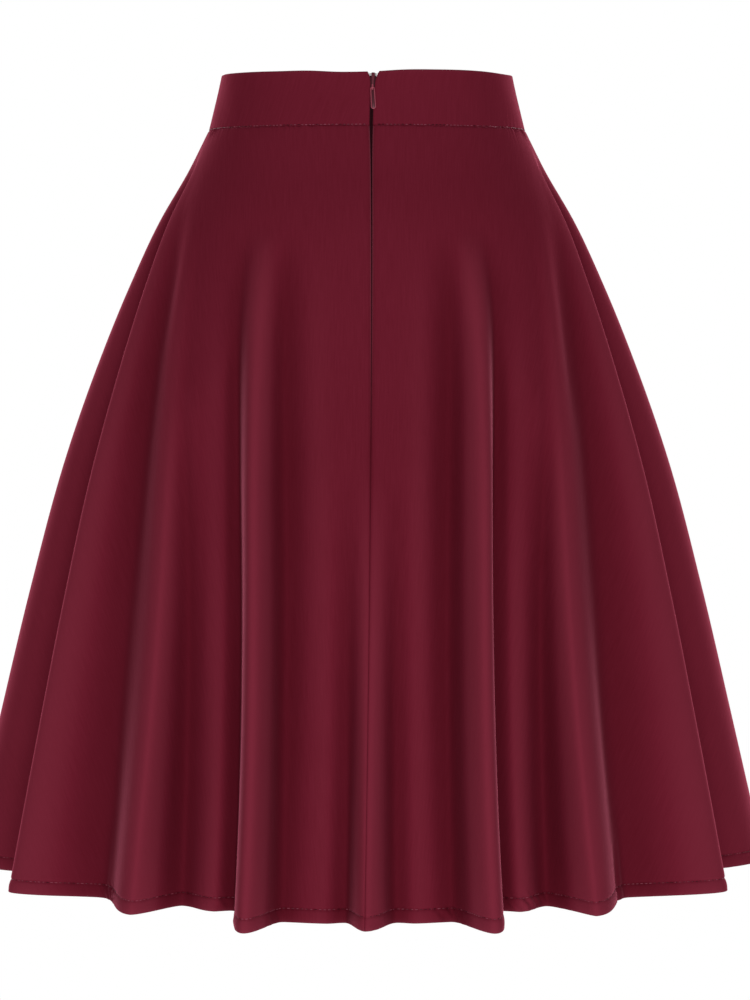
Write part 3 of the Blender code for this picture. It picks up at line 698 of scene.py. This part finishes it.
def band_panel(name, first_angle, last_angle, columns, first_gap, last_gap):
    """A length of band between two seams."""
    steps = EDGE_STEPS * 1.25
    base = np.concatenate(
        [
            BAND_HEIGHT - steps,
            np.linspace(BAND_HEIGHT - steps[-1], steps[-1], BAND_ROWS + 2)[1:-1],
            steps[::-1] - SEAM_LAP / 2,
        ]
    )
    lines = np.stack([first_angle(base), last_angle(base)], axis=1)
    angle = with_edge_columns(lines, base, first_gap, last_gap, columns, BAND_INSET)
    height = base[:, None] * band_top(angle) / BAND_HEIGHT
    face = garment_surface(angle, height)
    normal = outward(angle, height)
    arc = lengths_along(face, 1)
    down = lengths_along(face, 0)
    up = down[-1:] - down
    from_side = np.minimum(arc, arc[:, -1:] - arc)
    border = np.minimum(np.minimum(from_side, up), down)
    offset = waist_offset(arc * 0.9 + 0.31, up) * 0.7 - WAIST_DITCH * np.exp(-up / 0.0009)
    offset = offset + 0.00035 * wander(arc / 0.017 + up / 0.02) * smooth_step(up / 0.01)
    outer, inner = rolled_faces(face, normal, offset, BAND_WALL + 0 * up, border)
    flat = np.stack([arc, height], axis=-1)
    # Paler along the top fold with wear, and painted shade in the waist seam's ditch.
    band = closed_shell(name, outer, inner, flat, 0.6 * np.exp(-down / EDGE_FADE), seam_shade_mark(arc, up))
    length = float(arc[-1, -1])
    print(name, count_triangles(band), "triangles,", round(length, 3), "m long")
    return Panel(band, (length, BAND_HEIGHT), length * BAND_HEIGHT, outer, normal)


def side_seam(fold, turns=0):
    """The band's side seams stand over the skirt's."""
    return lambda height: FOLDS[fold].top + 360 * turns + 0 * height


band_left = band_panel(
    "band_back_left", side_seam(SIDE_LEFT), centre_back_angle, BAND_BACK_COLUMNS, seam_gap, centre_back_gap
)
band_right = band_panel(
    "band_back_right", centre_back_angle, side_seam(SIDE_RIGHT), BAND_BACK_COLUMNS, centre_back_gap, seam_gap
)
band_front = band_panel(
    "band_front", side_seam(SIDE_RIGHT), side_seam(SIDE_LEFT, 1), BAND_FRONT_COLUMNS, seam_gap, seam_gap
)

# %% [markdown]
# ## Stitches
# The hem is held by a line of small stitches a centimetre up, and a second line runs just above
# the waist seam. Each stitch shows as a short bump of thread that dives into the cloth at both
# ends. It could be drawn in the shader, but a real one catches light, so each is a tiny tube.
# There are hundreds, so a tube has few faces.

# %% Runs of stitches along a row or column of a panel
Thread = namedtuple("Thread", "pitch length radius lift")
HEM_THREAD = Thread(0.0034, 0.0022, 0.00026, 0.00012)
SEAM_THREAD = Thread(0.0030, 0.0020, 0.00030, 0.00018)
STITCH_SIDES = 6
WAIST_STITCH_STEP = 4


def stitches(name, line, normals, thread, skip=0.004):
    """Tubes along a polyline: middle = chord + lift sin(pi t) out, radius narrowing at both ends."""
    run = lengths_along(line[None], 1)[0]
    starts = np.arange(skip, run[-1] - skip, thread.pitch)
    share = np.array([0, 0.12, 0.5, 0.88, 1.0])
    places = starts[:, None] + thread.length * share
    size = thread.radius * np.array([0.45, 0.9, 1.0, 0.9, 0.45])

    def along(values):
        return np.stack([np.interp(places, run, values[:, k]) for k in range(3)], axis=-1)

    out = unit(along(normals))
    middle = along(line) + out * (thread.lift * np.sin(math.pi * share))[None, :, None]
    side = np.cross(unit(middle[:, -1:] - middle[:, :1]), out)
    turn = np.linspace(0, 2 * math.pi, STITCH_SIDES, endpoint=False)[None, None, :, None]
    ring = np.cos(turn) * side[:, :, None] + np.sin(turn) * out[:, :, None]
    return tubes(name, middle[:, :, None] + ring * size[None, :, None, None])


def stitch_runs(kind, thread, steps_up, panels):
    """A run of stitches along each of three panels, that many rows up from its lower edge."""
    return [
        stitches(f"{kind}_stitches_{place}", panel.grid[-1 - steps_up], panel.normals[-1 - steps_up], thread)
        for place, panel in zip(("left", "right", "front"), panels)
    ]


SKIRT_PANELS = (back_left, back_right, front)
BAND_PANELS = (band_left, band_right, band_front)
hem_stitches = stitch_runs("hem", HEM_THREAD, HEM_STITCH_STEP, SKIRT_PANELS)
waist_stitches = stitch_runs("waist", SEAM_THREAD, WAIST_STITCH_STEP, BAND_PANELS)
print(sum(count_triangles(s) for s in hem_stitches + waist_stitches), "triangles of stitches")

# %% [markdown]
# ## The concealed zip
# Two woven tapes are sewn behind the back edges, each with a nylon coil along it. Closed, the coils
# lie behind the cloth and all that shows outside is a fine dark slit; from inside one sees the
# coils. A coil is a spring, so it is a helix with an oval section, worked out along the opening.

# %% Tapes behind the back edges
TAPE_WIDTH = 0.011
TAPE_WALL = 0.0005
TAPE_ROWS = 180
TAPE_COLUMNS = 9
TAPE_TAIL = 0.006
CHAIN_TOP = 0.0225
TAPE_PARTING = 0.0008
SLIDER_WIDTH = 0.0058
TAPE_TOP = BAND_HEIGHT - 0.0034
BEHIND_BAND = 0.0024
BEHIND_SKIRT = 0.0018


def behind_wall(height):
    """Depth of the zip behind the outer face: the doubled band's wall, easing to the skirt's."""
    ease = smooth_step((-height - BAND_WALL) / (4 * BAND_WALL))
    return BEHIND_BAND + (BEHIND_SKIRT - BEHIND_BAND) * ease + SEAM_GAP


def behind(angle, height, depth):
    return garment_surface(angle, height) - outward(angle, height) * depth[..., None]


def zip_tape(name, side):
    """A strip beside the chain that parts round the slider: 1 / (1 + exp((top - height) / part))."""
    height = np.linspace(TAPE_TOP, ZIP_FOOT - TAPE_TAIL, TAPE_ROWS)
    near_slider = 1 / (1 + np.exp((CHAIN_TOP - height) / TAPE_PARTING))
    beside_chain = -SEAM_LAP / 2
    beside_slider = SLIDER_WIDTH / 2 + 2 * SEAM_GAP
    start = beside_chain + (beside_slider - beside_chain) * near_slider
    share = np.linspace(0, 1, TAPE_COLUMNS)[::side]
    across = start[:, None] + (TAPE_WIDTH - start[:, None]) * share
    height = np.repeat(height[:, None], len(share), axis=1)
    centre = centre_back_angle(height)
    angle = centre + side * degrees_for(across, centre, height)
    depth = behind_wall(height)
    outer = behind(angle, height, depth)
    inner = behind(angle, height, depth + TAPE_WALL)
    flat = np.stack([across, height], axis=-1)
    return closed_shell(name, outer, inner, flat, 0 * across)


tape_left = zip_tape("tape_left", -1)
tape_right = zip_tape("tape_right", 1)

# %% The two coils
COIL_PITCH = 0.0013
COIL_WIRE = 0.00026
COIL_ACROSS = 0.00062
COIL_DEPTH = 0.00052
COIL_BEHIND = 0.00105
COIL_MESHED = 0.00052
COIL_PARTED = 0.0016
COIL_STEPS = 10
COIL_SIDES = 6


def coil_middle(height):
    """How far each coil's middle lies from the zip's: meshed below the slider, parted above it."""
    parted = smooth_step((height - CHAIN_TOP) / (BAND_HEIGHT - CHAIN_TOP) * 1.6 - 0.35)
    return COIL_MESHED + COIL_PARTED * parted


def zip_coil(name, side):
    """A helix round the tape's edge: across = middle + a cos(turn), depth = d + b sin(turn)."""
    turns = (TAPE_TOP - ZIP_FOOT) / COIL_PITCH
    turn = np.linspace(0, 2 * math.pi * turns, int(COIL_STEPS * turns)) + (math.pi if side > 0 else 0)
    height = TAPE_TOP - COIL_PITCH * np.linspace(0, turns, len(turn))
    across = coil_middle(height) + COIL_ACROSS * np.cos(turn)
    depth = behind_wall(height) + COIL_BEHIND + COIL_DEPTH * np.sin(turn)
    centre = centre_back_angle(height)
    line = behind(centre + side * degrees_for(across, centre, height), height, depth)
    ahead = unit(np.gradient(line, axis=0))
    across_wire = unit(np.cross(ahead, (0, 0, 1.0)))
    third = np.cross(across_wire, ahead)
    round_wire = np.linspace(0, 2 * math.pi, COIL_SIDES, endpoint=False)
    ring = (
        np.cos(round_wire)[None, :, None] * across_wire[:, None]
        + np.sin(round_wire)[None, :, None] * third[:, None]
    )
    return tubes(name, (line[:, None] + COIL_WIRE * ring)[None])


coils = join("zip_coils", zip_coil("coil_left", -1), zip_coil("coil_right", 1))
print("coils", count_triangles(coils), "triangles")

# %% [markdown]
# ## Slider and pull tab
# The slider's body rides behind the band; a neck comes out through the slit and carries the eye in
# which the tab's bar turns. The tab is a flat teardrop with a raised rim. Both are painted to match
# the cloth. They are built round the hinge, in the slider's own axes, and then moved into place.

# %% The slider's own axes at the eye
EYE_HEIGHT = 0.0282
EYE_STANDOFF = 0.0012
EYE_RADIUS = 0.00085
BAIL_RADIUS = 0.00145
BAIL_WIDTH = 0.0016
SLIDER_LOW = -0.0025
SLIDER_HIGH = 0.0105
SLIDER_WALL = 0.0034
CROWN_WIDTH = 0.0030
CROWN_RISE = 0.0022
TAB_LENGTH = 0.0165
TAB_TOP_WIDTH = 0.0034
TAB_WIDTH = 0.0040
RIM_RADIUS = 0.00040
PLATE_WALL = 0.0009
PLATE_ROUND = 0.0003
PLATE_STANDOFF = 0.0027
TAB_LEAN = math.radians(6)
BAR_RADIUS = 0.0004


def eye_frame():
    """X across, Y into the band, Z up along the band's slope and the zip's lean."""
    height = np.array([EYE_HEIGHT])
    above = height + SLIDER_HIGH
    place = garment_surface(centre_back_angle(height), height)[0]
    higher = garment_surface(centre_back_angle(above), above)[0]
    normal = outward(centre_back_angle(height), height)[0]
    slope = math.atan2(normal[2], -normal[1])
    lean = math.atan2(higher[0] - place[0], SLIDER_HIGH)
    origin = Vector(place) + Vector(normal) * EYE_STANDOFF
    return Matrix.Translation(origin) @ Matrix.Rotation(lean, 4, "Y") @ Matrix.Rotation(-slope, 4, "X")


def along_loop(loop):
    """Unit vectors along a closed loop, one at each of its points."""
    return unit(np.roll(loop, -1, axis=0) - np.roll(loop, 1, axis=0))


def into_loop(outline):
    """Unit vectors that point into an outline drawn anticlockwise."""
    ahead = along_loop(outline)
    return np.stack([-ahead[:, 1], ahead[:, 0]], axis=1)


def puck(name, outline, profile):
    """An outline of (x, z) points swept through a profile of (inset, y): each ring is the outline
    drawn in by inset along its own normals."""
    inward = into_loop(outline)
    rings = []
    for inset, y in profile:
        ring = outline + inward * inset
        rings.append(np.stack([ring[:, 0], np.full(len(ring), y), ring[:, 1]], axis=1))
    return tubes(name, np.array(rings)[None])


def arc_points(x, z, radius, start, sweep, points=8):
    turn = np.radians(start + sweep * np.linspace(0, 1, points))
    return np.stack([x + radius * np.cos(turn), z + radius * np.sin(turn)], axis=1)


def rounded_box(half_top, half_foot, low, high, corner):
    """An outline with round corners, wider or narrower at its foot, anticlockwise."""
    return np.concatenate(
        [
            arc_points(half_top - corner, high - corner, corner, 0, 90),
            arc_points(corner - half_top, high - corner, corner, 90, 90),
            arc_points(corner - half_foot, low + corner, corner, 180, 90),
            arc_points(half_foot - corner, low + corner, corner, 270, 90),
        ]
    )


def rounded_profile(near, far, round_off):
    """Insets and depths of a slab between two depths whose edges are quarter circles."""
    turn = np.radians(np.linspace(0, 90, 5))
    inset = round_off * (1 - np.sin(turn))
    lift = round_off * (1 - np.cos(turn))
    near_side = list(zip(inset, near + lift))
    far_side = [(i, far - (y - near)) for i, y in reversed(near_side)]
    return near_side + far_side


def ring_tube(name, path, normal, radius, squeeze=1.0, sides=10):
    """A closed tube along a loop of points; normal is the loop's own axis."""
    side = np.cross(along_loop(path), normal)
    turn = np.linspace(0, 2 * math.pi, sides, endpoint=False)[None, :, None]
    ring = np.cos(turn) * side[:, None] + squeeze * np.sin(turn) * np.asarray(normal, float)
    return tubes(name, (path[:, None] + radius * ring)[None], closed=True)


def shaded(piece, share):
    """The piece marked as lying that far in the shade, where the paint is dark."""
    recess = piece.data.attributes.new("recess", "FLOAT", "POINT").data
    recess.foreach_set("value", np.full(len(recess), share, np.float32))
    return piece


# %% The slider
def make_slider(place):
    """Two shield plates with a wedge between them, a crown on the near one that is all that shows
    in the notch, a neck, and a ring for the bail."""
    front = EYE_STANDOFF + PLATE_STANDOFF
    back = front + SLIDER_WALL
    shield = rounded_box(SLIDER_WIDTH / 2, SLIDER_WIDTH / 2 - 0.0007, SLIDER_LOW, SLIDER_HIGH, 0.0017)
    inner = rounded_box(0.0013, 0.0008, SLIDER_LOW + 0.002, SLIDER_HIGH - 0.0006, 0.0006)
    crown = rounded_box(CROWN_WIDTH / 2, 0.0009, 0.0012, SLIDER_HIGH + CROWN_RISE, 0.00085)
    neck = rounded_box(0.0007, 0.0007, -0.0016, 0.0030, 0.0004)
    turn = np.linspace(0, 2 * math.pi, 28, endpoint=False)
    middle = (EYE_RADIUS + BAIL_RADIUS) / 2
    wire = BAIL_RADIUS - EYE_RADIUS
    ring = np.stack([0 * turn, middle * np.cos(turn), middle * np.sin(turn)], axis=1)
    parts = [
        shaded(puck("near_plate", shield, rounded_profile(front, front + PLATE_WALL, PLATE_ROUND)), 1.0),
        shaded(puck("far_plate", shield, rounded_profile(back - PLATE_WALL, back, PLATE_ROUND)), 1.0),
        shaded(puck("wedge", inner, rounded_profile(front + 0.0005, back - 0.0005, 0.0001)), 1.0),
        shaded(puck("crown", crown, rounded_profile(front - 0.0007, front + 0.0004, 0.0005)), 0.72),
        puck("neck", neck, rounded_profile(middle - 0.0002, front + 0.0006, 0.0002)),
        ring_tube("bail", ring, (1, 0, 0), wire / 2, BAIL_WIDTH / wire),
    ]
    slider = join("slider", *parts)
    slider.data.transform(place)
    return slider


def teardrop(length, top_width, width):
    """The tab's outline round its axis: a round bar end that widens to a half circle at the foot."""
    corner = 2 * BAR_RADIUS
    return np.concatenate(
        [
            arc_points(top_width / 2 - corner, -BAR_RADIUS, corner, 0, 90),
            arc_points(corner - top_width / 2, -BAR_RADIUS, corner, 90, 90),
            arc_points(0, width / 2 - length, width / 2, 180, 180, 20),
        ]
    )


def make_tab(place):
    """A round-wire rim along the teardrop, a thin plate inside it, and the bar that turns."""
    outline = teardrop(TAB_LENGTH, TAB_TOP_WIDTH, TAB_WIDTH)
    path = outline + into_loop(outline) * RIM_RADIUS
    rim_path = np.stack([path[:, 0], 0 * path[:, 0], path[:, 1]], axis=1)
    low = -BAIL_RADIUS - 2 * SEAM_GAP
    plate_outline = np.concatenate(
        [
            arc_points(0.00075, low - 0.0006, 0.0005, 0, 90, 5),
            arc_points(-0.00075, low - 0.0006, 0.0005, 90, 90, 5),
            arc_points(0, TAB_WIDTH / 2 - TAB_LENGTH, TAB_WIDTH / 2 - RIM_RADIUS, 180, 180, 16),
        ]
    )
    plate = shaded(puck("plate", plate_outline, rounded_profile(-0.00006, 0.00024, 0.00006)), 0.9)
    tab = join("pull_tab", ring_tube("rim", rim_path, (0, 1, 0), RIM_RADIUS), plate)
    tab.data.transform(place @ Matrix.Rotation(-TAB_LEAN, 4, "Y"))
    return tab


eye = eye_frame()
slider = make_slider(eye)
tab = make_tab(eye)
print("slider", count_triangles(slider), "and tab", count_triangles(tab), "triangles")

# %% [markdown]
# ## Shader maths as Python
# Node trees are easier to read as expressions. The class below wraps one socket; adding or
# multiplying it makes the Math node, and make() adds any other node from its type, its settings
# and its inputs.

# %% A socket that does arithmetic
class Link:
    """One output socket of a shader node."""

    def __init__(self, socket):
        self.socket = socket

    @staticmethod
    def make(tree, kind, settings=None, inputs=None, output=0):
        """A node of that type with its settings, ramp stops and inputs set; returns one output."""
        node = tree.nodes.new("ShaderNode" + kind)
        for key, value in (settings or {}).items():
            if key == "stops":
                elements = node.color_ramp.elements
                while len(elements) < len(value):
                    elements.new(1.0)
                for element, (position, colour) in zip(elements, value):
                    element.position = position
                    element.color = (*colour, 1)
            else:
                setattr(node, key, value)
        for key, value in (inputs or {}).items():
            if isinstance(value, Link):
                tree.links.new(value.socket, node.inputs[key])
            else:
                node.inputs[key].default_value = value
        return Link(node.outputs[output])

    def math(self, operation, *others):
        inputs = {0: self}
        inputs.update({k + 1: other for k, other in enumerate(others)})
        return Link.make(self.socket.id_data, "Math", {"operation": operation}, inputs)

    def __add__(self, other):
        return self.math("ADD", other)

    __radd__ = __add__

    def __mul__(self, other):
        return self.math("MULTIPLY", other)

    __rmul__ = __mul__

    def __sub__(self, other):
        return self.math("SUBTRACT", other)

    def __rsub__(self, other):
        return Link.make(self.socket.id_data, "Math", {"operation": "SUBTRACT"}, {0: other, 1: self})

    def sine(self):
        return self.math("SINE")

    def clamped(self):
        return Link.make(self.socket.id_data, "Clamp", None, {"Value": self})


def start_material(name, constants):
    """A material with one Principled shader whose plain numbers are set on its own sockets."""
    material = bpy.data.materials.new(name)
    material.use_nodes = True
    tree = material.node_tree
    tree.nodes.clear()
    output = tree.nodes.new("ShaderNodeOutputMaterial")
    shader = tree.nodes.new("ShaderNodeBsdfPrincipled")
    tree.links.new(shader.outputs[0], output.inputs["Surface"])
    for key, value in constants.items():
        shader.inputs[key].default_value = value
    return material, tree, shader


def noise(tree, vector, scale, detail=2.0, roughness=0.5):
    settings = {"noise_dimensions": "3D"}
    inputs = {"Vector": vector, "Scale": scale, "Detail": detail, "Roughness": roughness}
    return Link.make(tree, "TexNoise", settings, inputs)


def stretched(tree, vector, scale):
    """The vector times three sizes, to draw a pattern out one way."""
    return Link.make(tree, "VectorMath", {"operation": "MULTIPLY"}, {0: vector, 1: scale})


def mixed(tree, factor, first, second):
    inputs = {0: factor, 6: first, 7: second}
    return Link.make(tree, "Mix", {"data_type": "RGBA"}, inputs, 2)


def mark(tree, name):
    """A number that the mesh holds at each of its points."""
    return Link.make(tree, "Attribute", {"attribute_name": name}, None, 2)


def own_place(tree):
    return Link.make(tree, "TexCoord", None, None, "Object")


def cut_place(tree):
    """The flat cut's two lengths in metres: the vector, across it and along it."""
    flat = Link.make(tree, "UVMap", {"uv_map": "flat"})
    across = Link.make(tree, "SeparateXYZ", None, {0: flat}, 0)
    return flat, across, Link(across.socket.node.outputs[1])


def finish(tree, shader, colour, roughness, relief=None, strength=0.0, distance=0.0):
    """Plugs the colour and roughness in, and the relief by way of a Bump node."""
    values = {"Base Color": colour, "Roughness": roughness}
    if relief is not None:
        height = {"Strength": strength, "Distance": distance, "Height": relief}
        values["Normal"] = Link.make(tree, "Bump", None, height)
    for name, value in values.items():
        tree.links.new(value.socket, shader.inputs[name])


# %% [markdown]
# ## The cloth's finish
# It is a smooth cotton twill: fine slanting ribs too small to see from a step away, threads that
# differ slightly in shade so that faint streaks run down the cloth, and a soft sheen that turns
# pinkish where one looks along the surface. The ribs and streaks are drawn on the flat cut, in
# metres, and are kept fine. Two numbers that each mesh holds at its points change the colour
# further: edge, paler where the hem's and band's folds wear and paler still on the zip's lips as
# a painted highlight, and hollow, painted shade deep between two flutes, in the seams' ditches and
# along the hem's stitches, and a painted highlight along each ridge.

# %% Burgundy twill
# The first two colours are the cloth's own. The third is painted shade for hollows and seams, the fourth a
# painted highlight for ridges, and the fifth paler cloth for worn folds and a painted highlight on the zip's
# lips.
CLOTH_DEEP = (0.118, 0.0088, 0.0190, 1)
CLOTH_LIGHT = (0.152, 0.0135, 0.0285, 1)
CLOTH_PAINTED_SHADE = (0.045, 0.0010, 0.0030, 1)
CLOTH_PAINTED_HIGHLIGHT = (0.210, 0.0260, 0.0465, 1)
CLOTH_WEAR_AND_HIGHLIGHT = (0.235, 0.050, 0.075, 1)
RIB_PITCH = 0.0007


def cloth_material():
    material, tree, shader = start_material(
        "burgundy twill",
        {
            "Specular IOR Level": 0.0,
            "Sheen Weight": 0.30,
            "Sheen Roughness": 0.30,
            "Sheen Tint": (1.0, 0.24, 0.36, 1),
        },
    )
    flat, across, along = cut_place(tree)
    ribs = ((across + 0.55 * along) * (2 * math.pi / RIB_PITCH)).sine() * 0.5 + 0.5
    streaks = noise(tree, stretched(tree, flat, (950, 42, 1)), 1.0, 3.0, 0.6)
    threads = noise(tree, stretched(tree, flat, (3100, 260, 1)), 1.0, 2.0, 0.5)
    crinkle = noise(tree, stretched(tree, flat, (190, 70, 1)), 1.0, 3.0, 0.6)
    clouds = noise(tree, own_place(tree), 9.0, 2.0, 0.5)
    edge = mark(tree, "edge")
    hollow = mark(tree, "hollow")
    shade = (0.55 * streaks + 0.25 * clouds + 0.12 * threads + 0.08 * ribs).clamped()
    contrast = ((shade - 0.5) * 2.2 + 0.5).clamped()
    colour = mixed(tree, contrast, CLOTH_DEEP, CLOTH_LIGHT)
    # Painted shade in the hollows and seams, then a painted highlight on the ridges.
    colour = mixed(tree, (hollow * 0.45).clamped(), colour, CLOTH_PAINTED_SHADE)
    colour = mixed(tree, (hollow * -0.55).clamped(), colour, CLOTH_PAINTED_HIGHLIGHT)
    # Worn folds paler, and a painted highlight on the zip's lips.
    colour = mixed(tree, (edge * 0.28).clamped(), colour, CLOTH_WEAR_AND_HIGHLIGHT)
    relief = 0.35 * ribs + 0.55 * threads + 0.5 * streaks + 4.0 * crinkle
    finish(tree, shader, colour, 0.56 + 0.10 * streaks + 0.05 * edge, relief, 0.35, 0.00012)
    return material


def thread_material():
    """Sewing thread: two plies twist round each other, so a fine slant runs along it."""
    material, tree, shader = start_material("sewing thread", {"Specular IOR Level": 0.1})
    place = own_place(tree)
    twist = noise(tree, place, 2400.0, 1.0)
    stitch = ((noise(tree, place, 330.0, 1.0) - 0.5) * 5.0 + 0.45 + 0.2 * (twist - 0.5)).clamped()
    colour = mixed(tree, stitch, (0.030, 0.0012, 0.0035, 1), (0.26, 0.060, 0.092, 1))
    finish(tree, shader, colour, 0.42 + 0.2 * twist)
    return material


# Both tape colours are very dark: partly the tape's dark dye, partly painted shade for the slit it lies
# behind.
TAPE_DARK = (0.010, 0.0008, 0.0020, 1)
TAPE_LIGHT = (0.026, 0.0020, 0.0048, 1)


def tape_material():
    """Woven tape: fine ribs along its length, each crossed by the weft."""
    material, tree, shader = start_material("woven zip tape", {"Specular IOR Level": 0.1})
    _, across, along = cut_place(tree)
    ribs = (across * (2 * math.pi / 0.0009)).sine() * 0.5 + 0.5
    weft = (along * (2 * math.pi / 0.0005)).sine() * 0.5 + 0.5
    weave = 0.6 * ribs + 0.4 * weft
    colour = mixed(tree, weave, TAPE_DARK, TAPE_LIGHT)
    finish(tree, shader, colour, 0.62 + 0.15 * weave, weave, 0.6, 0.0001)
    return material


def coil_material():
    """Dyed nylon: smooth, a little cloudy."""
    material, tree, shader = start_material("dyed nylon coil", {"Specular IOR Level": 0.5})
    cloud = noise(tree, own_place(tree), 700.0, 2.0)
    # Very dark: partly the nylon's own dye, partly painted shade for the coils behind the slit.
    colour = mixed(tree, cloud, (0.018, 0.002, 0.005, 1), (0.050, 0.006, 0.012, 1))
    finish(tree, shader, colour, 0.30 + 0.15 * cloud)
    return material


def paint_material():
    """Enamel on zinc: even and glossy. The parts that shaded() marks are mixed to near black,
    painted shade behind the slit and in the tab's slot.
    """
    material, tree, shader = start_material(
        "burgundy enamel", {"Specular Tint": (1.0, 0.45, 0.55, 1), "Coat Weight": 0.05, "Coat Roughness": 0.3}
    )
    speck = noise(tree, own_place(tree), 1800.0, 3.0)
    colour = mixed(tree, speck, (0.240, 0.034, 0.056, 1), (0.340, 0.070, 0.100, 1))
    # Painted shade: the marked parts darken to near black.
    colour = mixed(tree, mark(tree, "recess"), colour, (0.020, 0.0012, 0.0030, 1))
    finish(tree, shader, colour, 0.24 + 0.12 * speck, speck, 0.15, 0.00005)
    return material


cloth = cloth_material()
thread = thread_material()
tape = tape_material()
coil = coil_material()
paint = paint_material()

# %% Each piece gets its finish, its body and the solids that it stands for
Dress = namedtuple("Dress", "piece material slot body solids")
DRESSES = (
    Dress(back_left.piece, cloth, "cloth", "skirt", ("skirt_back_left",)),
    Dress(back_right.piece, cloth, "cloth", "skirt", ("skirt_back_right",)),
    Dress(front.piece, cloth, "cloth", "skirt", ("skirt_front",)),
    Dress(band_left.piece, cloth, "cloth", "skirt", ("waistband_back_left",)),
    Dress(band_right.piece, cloth, "cloth", "skirt", ("waistband_back_right",)),
    Dress(band_front.piece, cloth, "cloth", "skirt", ("waistband_front",)),
    Dress(tape_left, tape, "zip_tape", "skirt", ("zip_tape_left",)),
    Dress(tape_right, tape, "zip_tape", "skirt", ("zip_tape_right",)),
    Dress(coils, coil, "zip_coil", "skirt", ("zip_chain",)),
    Dress(slider, paint, "zip_paint", "skirt", ("zip_slider",)),
    Dress(tab, paint, "zip_paint", "pull_tab", ("zip_pull_tab",)),
    *(Dress(run, thread, "cloth", "skirt", ()) for run in hem_stitches + waist_stitches),
)
for dress in DRESSES:
    dress.piece.data.materials.clear()
    dress.piece.data.materials.append(dress.material)
    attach(dress.piece, dress.body)
    if dress.solids:
        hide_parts(*dress.solids)
print(sum(count_triangles(d.piece) for d in DRESSES), "triangles in all")

# %% [markdown]
# ## Light, floor and camera
# The picture is a plain studio shot on white. A weak even light from all round shows the cloth's
# own colour, a soft light beside the camera fills what faces it, and two tall lights stand behind
# the skirt, one on each side, and draw a pale rim along every edge that turns away from the
# camera. The floor lies well below, near white.

# %% Studio
def studio_light(name, place, aim, size, power):
    light = bpy.data.lights.new(name, "AREA")
    light.shape = "RECTANGLE"
    light.size, light.size_y = size
    light.energy = power
    lamp = bpy.data.objects.new(name, light)
    lamp.location = place
    lamp.rotation_euler = (Vector(aim) - Vector(place)).to_track_quat("-Z", "Y").to_euler()
    bpy.context.scene.collection.objects.link(lamp)
    return lamp


MIDDLE = (0, 0, -0.28)
for place, side in (("left", -1), ("right", 1)):
    studio_light(f"{place} edge light", (1.7 * side, 1.75, 0.05), MIDDLE, (0.6, 1.8), 74)
studio_light("front fill", (0.1, -3.8, -0.20), MIDDLE, (1.2, 1.2), 84)

world = bpy.data.worlds.new("studio")
bpy.context.scene.world = world
world.use_nodes = True
world.node_tree.nodes.clear()
seen = Link.make(world.node_tree, "LightPath", None, None, "Is Camera Ray")
glow = Link.make(world.node_tree, "Background", None, {"Color": (1, 1, 1, 1), "Strength": 0.30 + 0.70 * seen})
world_output = world.node_tree.nodes.new("ShaderNodeOutputWorld")
world.node_tree.links.new(glow.socket, world_output.inputs["Surface"])
bpy.context.scene.view_settings.view_transform = "Standard"

FLOOR = -1.03
FLOOR_REACH = 1.5
floor = new_piece(
    "floor",
    [(x * FLOOR_REACH, y * FLOOR_REACH, FLOOR) for x, y in ((-1, -1), (1, -1), (1, 1), (-1, 1))],
    [(0, 1, 2, 3)],
)
floor_material, _, floor_shader = start_material("pale floor", {"Roughness": 0.9})
floor_shader.inputs["Base Color"].default_value = (0.86, 0.86, 0.86, 1)
floor.data.materials.append(floor_material)

# %% Camera, a little below waist height and 2.6 m behind the skirt
PIXEL = 0.00079
DISTANCE = 2.6
PICTURE = (750, 1000)
MIDDLE_COLUMN = 367
CAMERA_HEIGHT = -0.133
HORIZON_ROW = 300
SENSOR = 36
tilt = math.atan((PICTURE[1] / 2 - HORIZON_ROW) * PIXEL / DISTANCE)
camera_data = bpy.data.cameras.new("camera")
camera_data.sensor_width = SENSOR
camera_data.lens = SENSOR / PICTURE[1] * DISTANCE / PIXEL * math.cos(tilt)
camera = bpy.data.objects.new("camera", camera_data)
camera.location = ((PICTURE[0] / 2 - MIDDLE_COLUMN) * PIXEL, -DISTANCE, CAMERA_HEIGHT)
camera.rotation_euler = (math.pi / 2 - tilt, 0, 0)
bpy.context.scene.collection.objects.link(camera)
bpy.context.scene.camera = camera
print(f"lens {camera_data.lens:.1f} mm, tilted down {math.degrees(tilt):.2f} degrees")
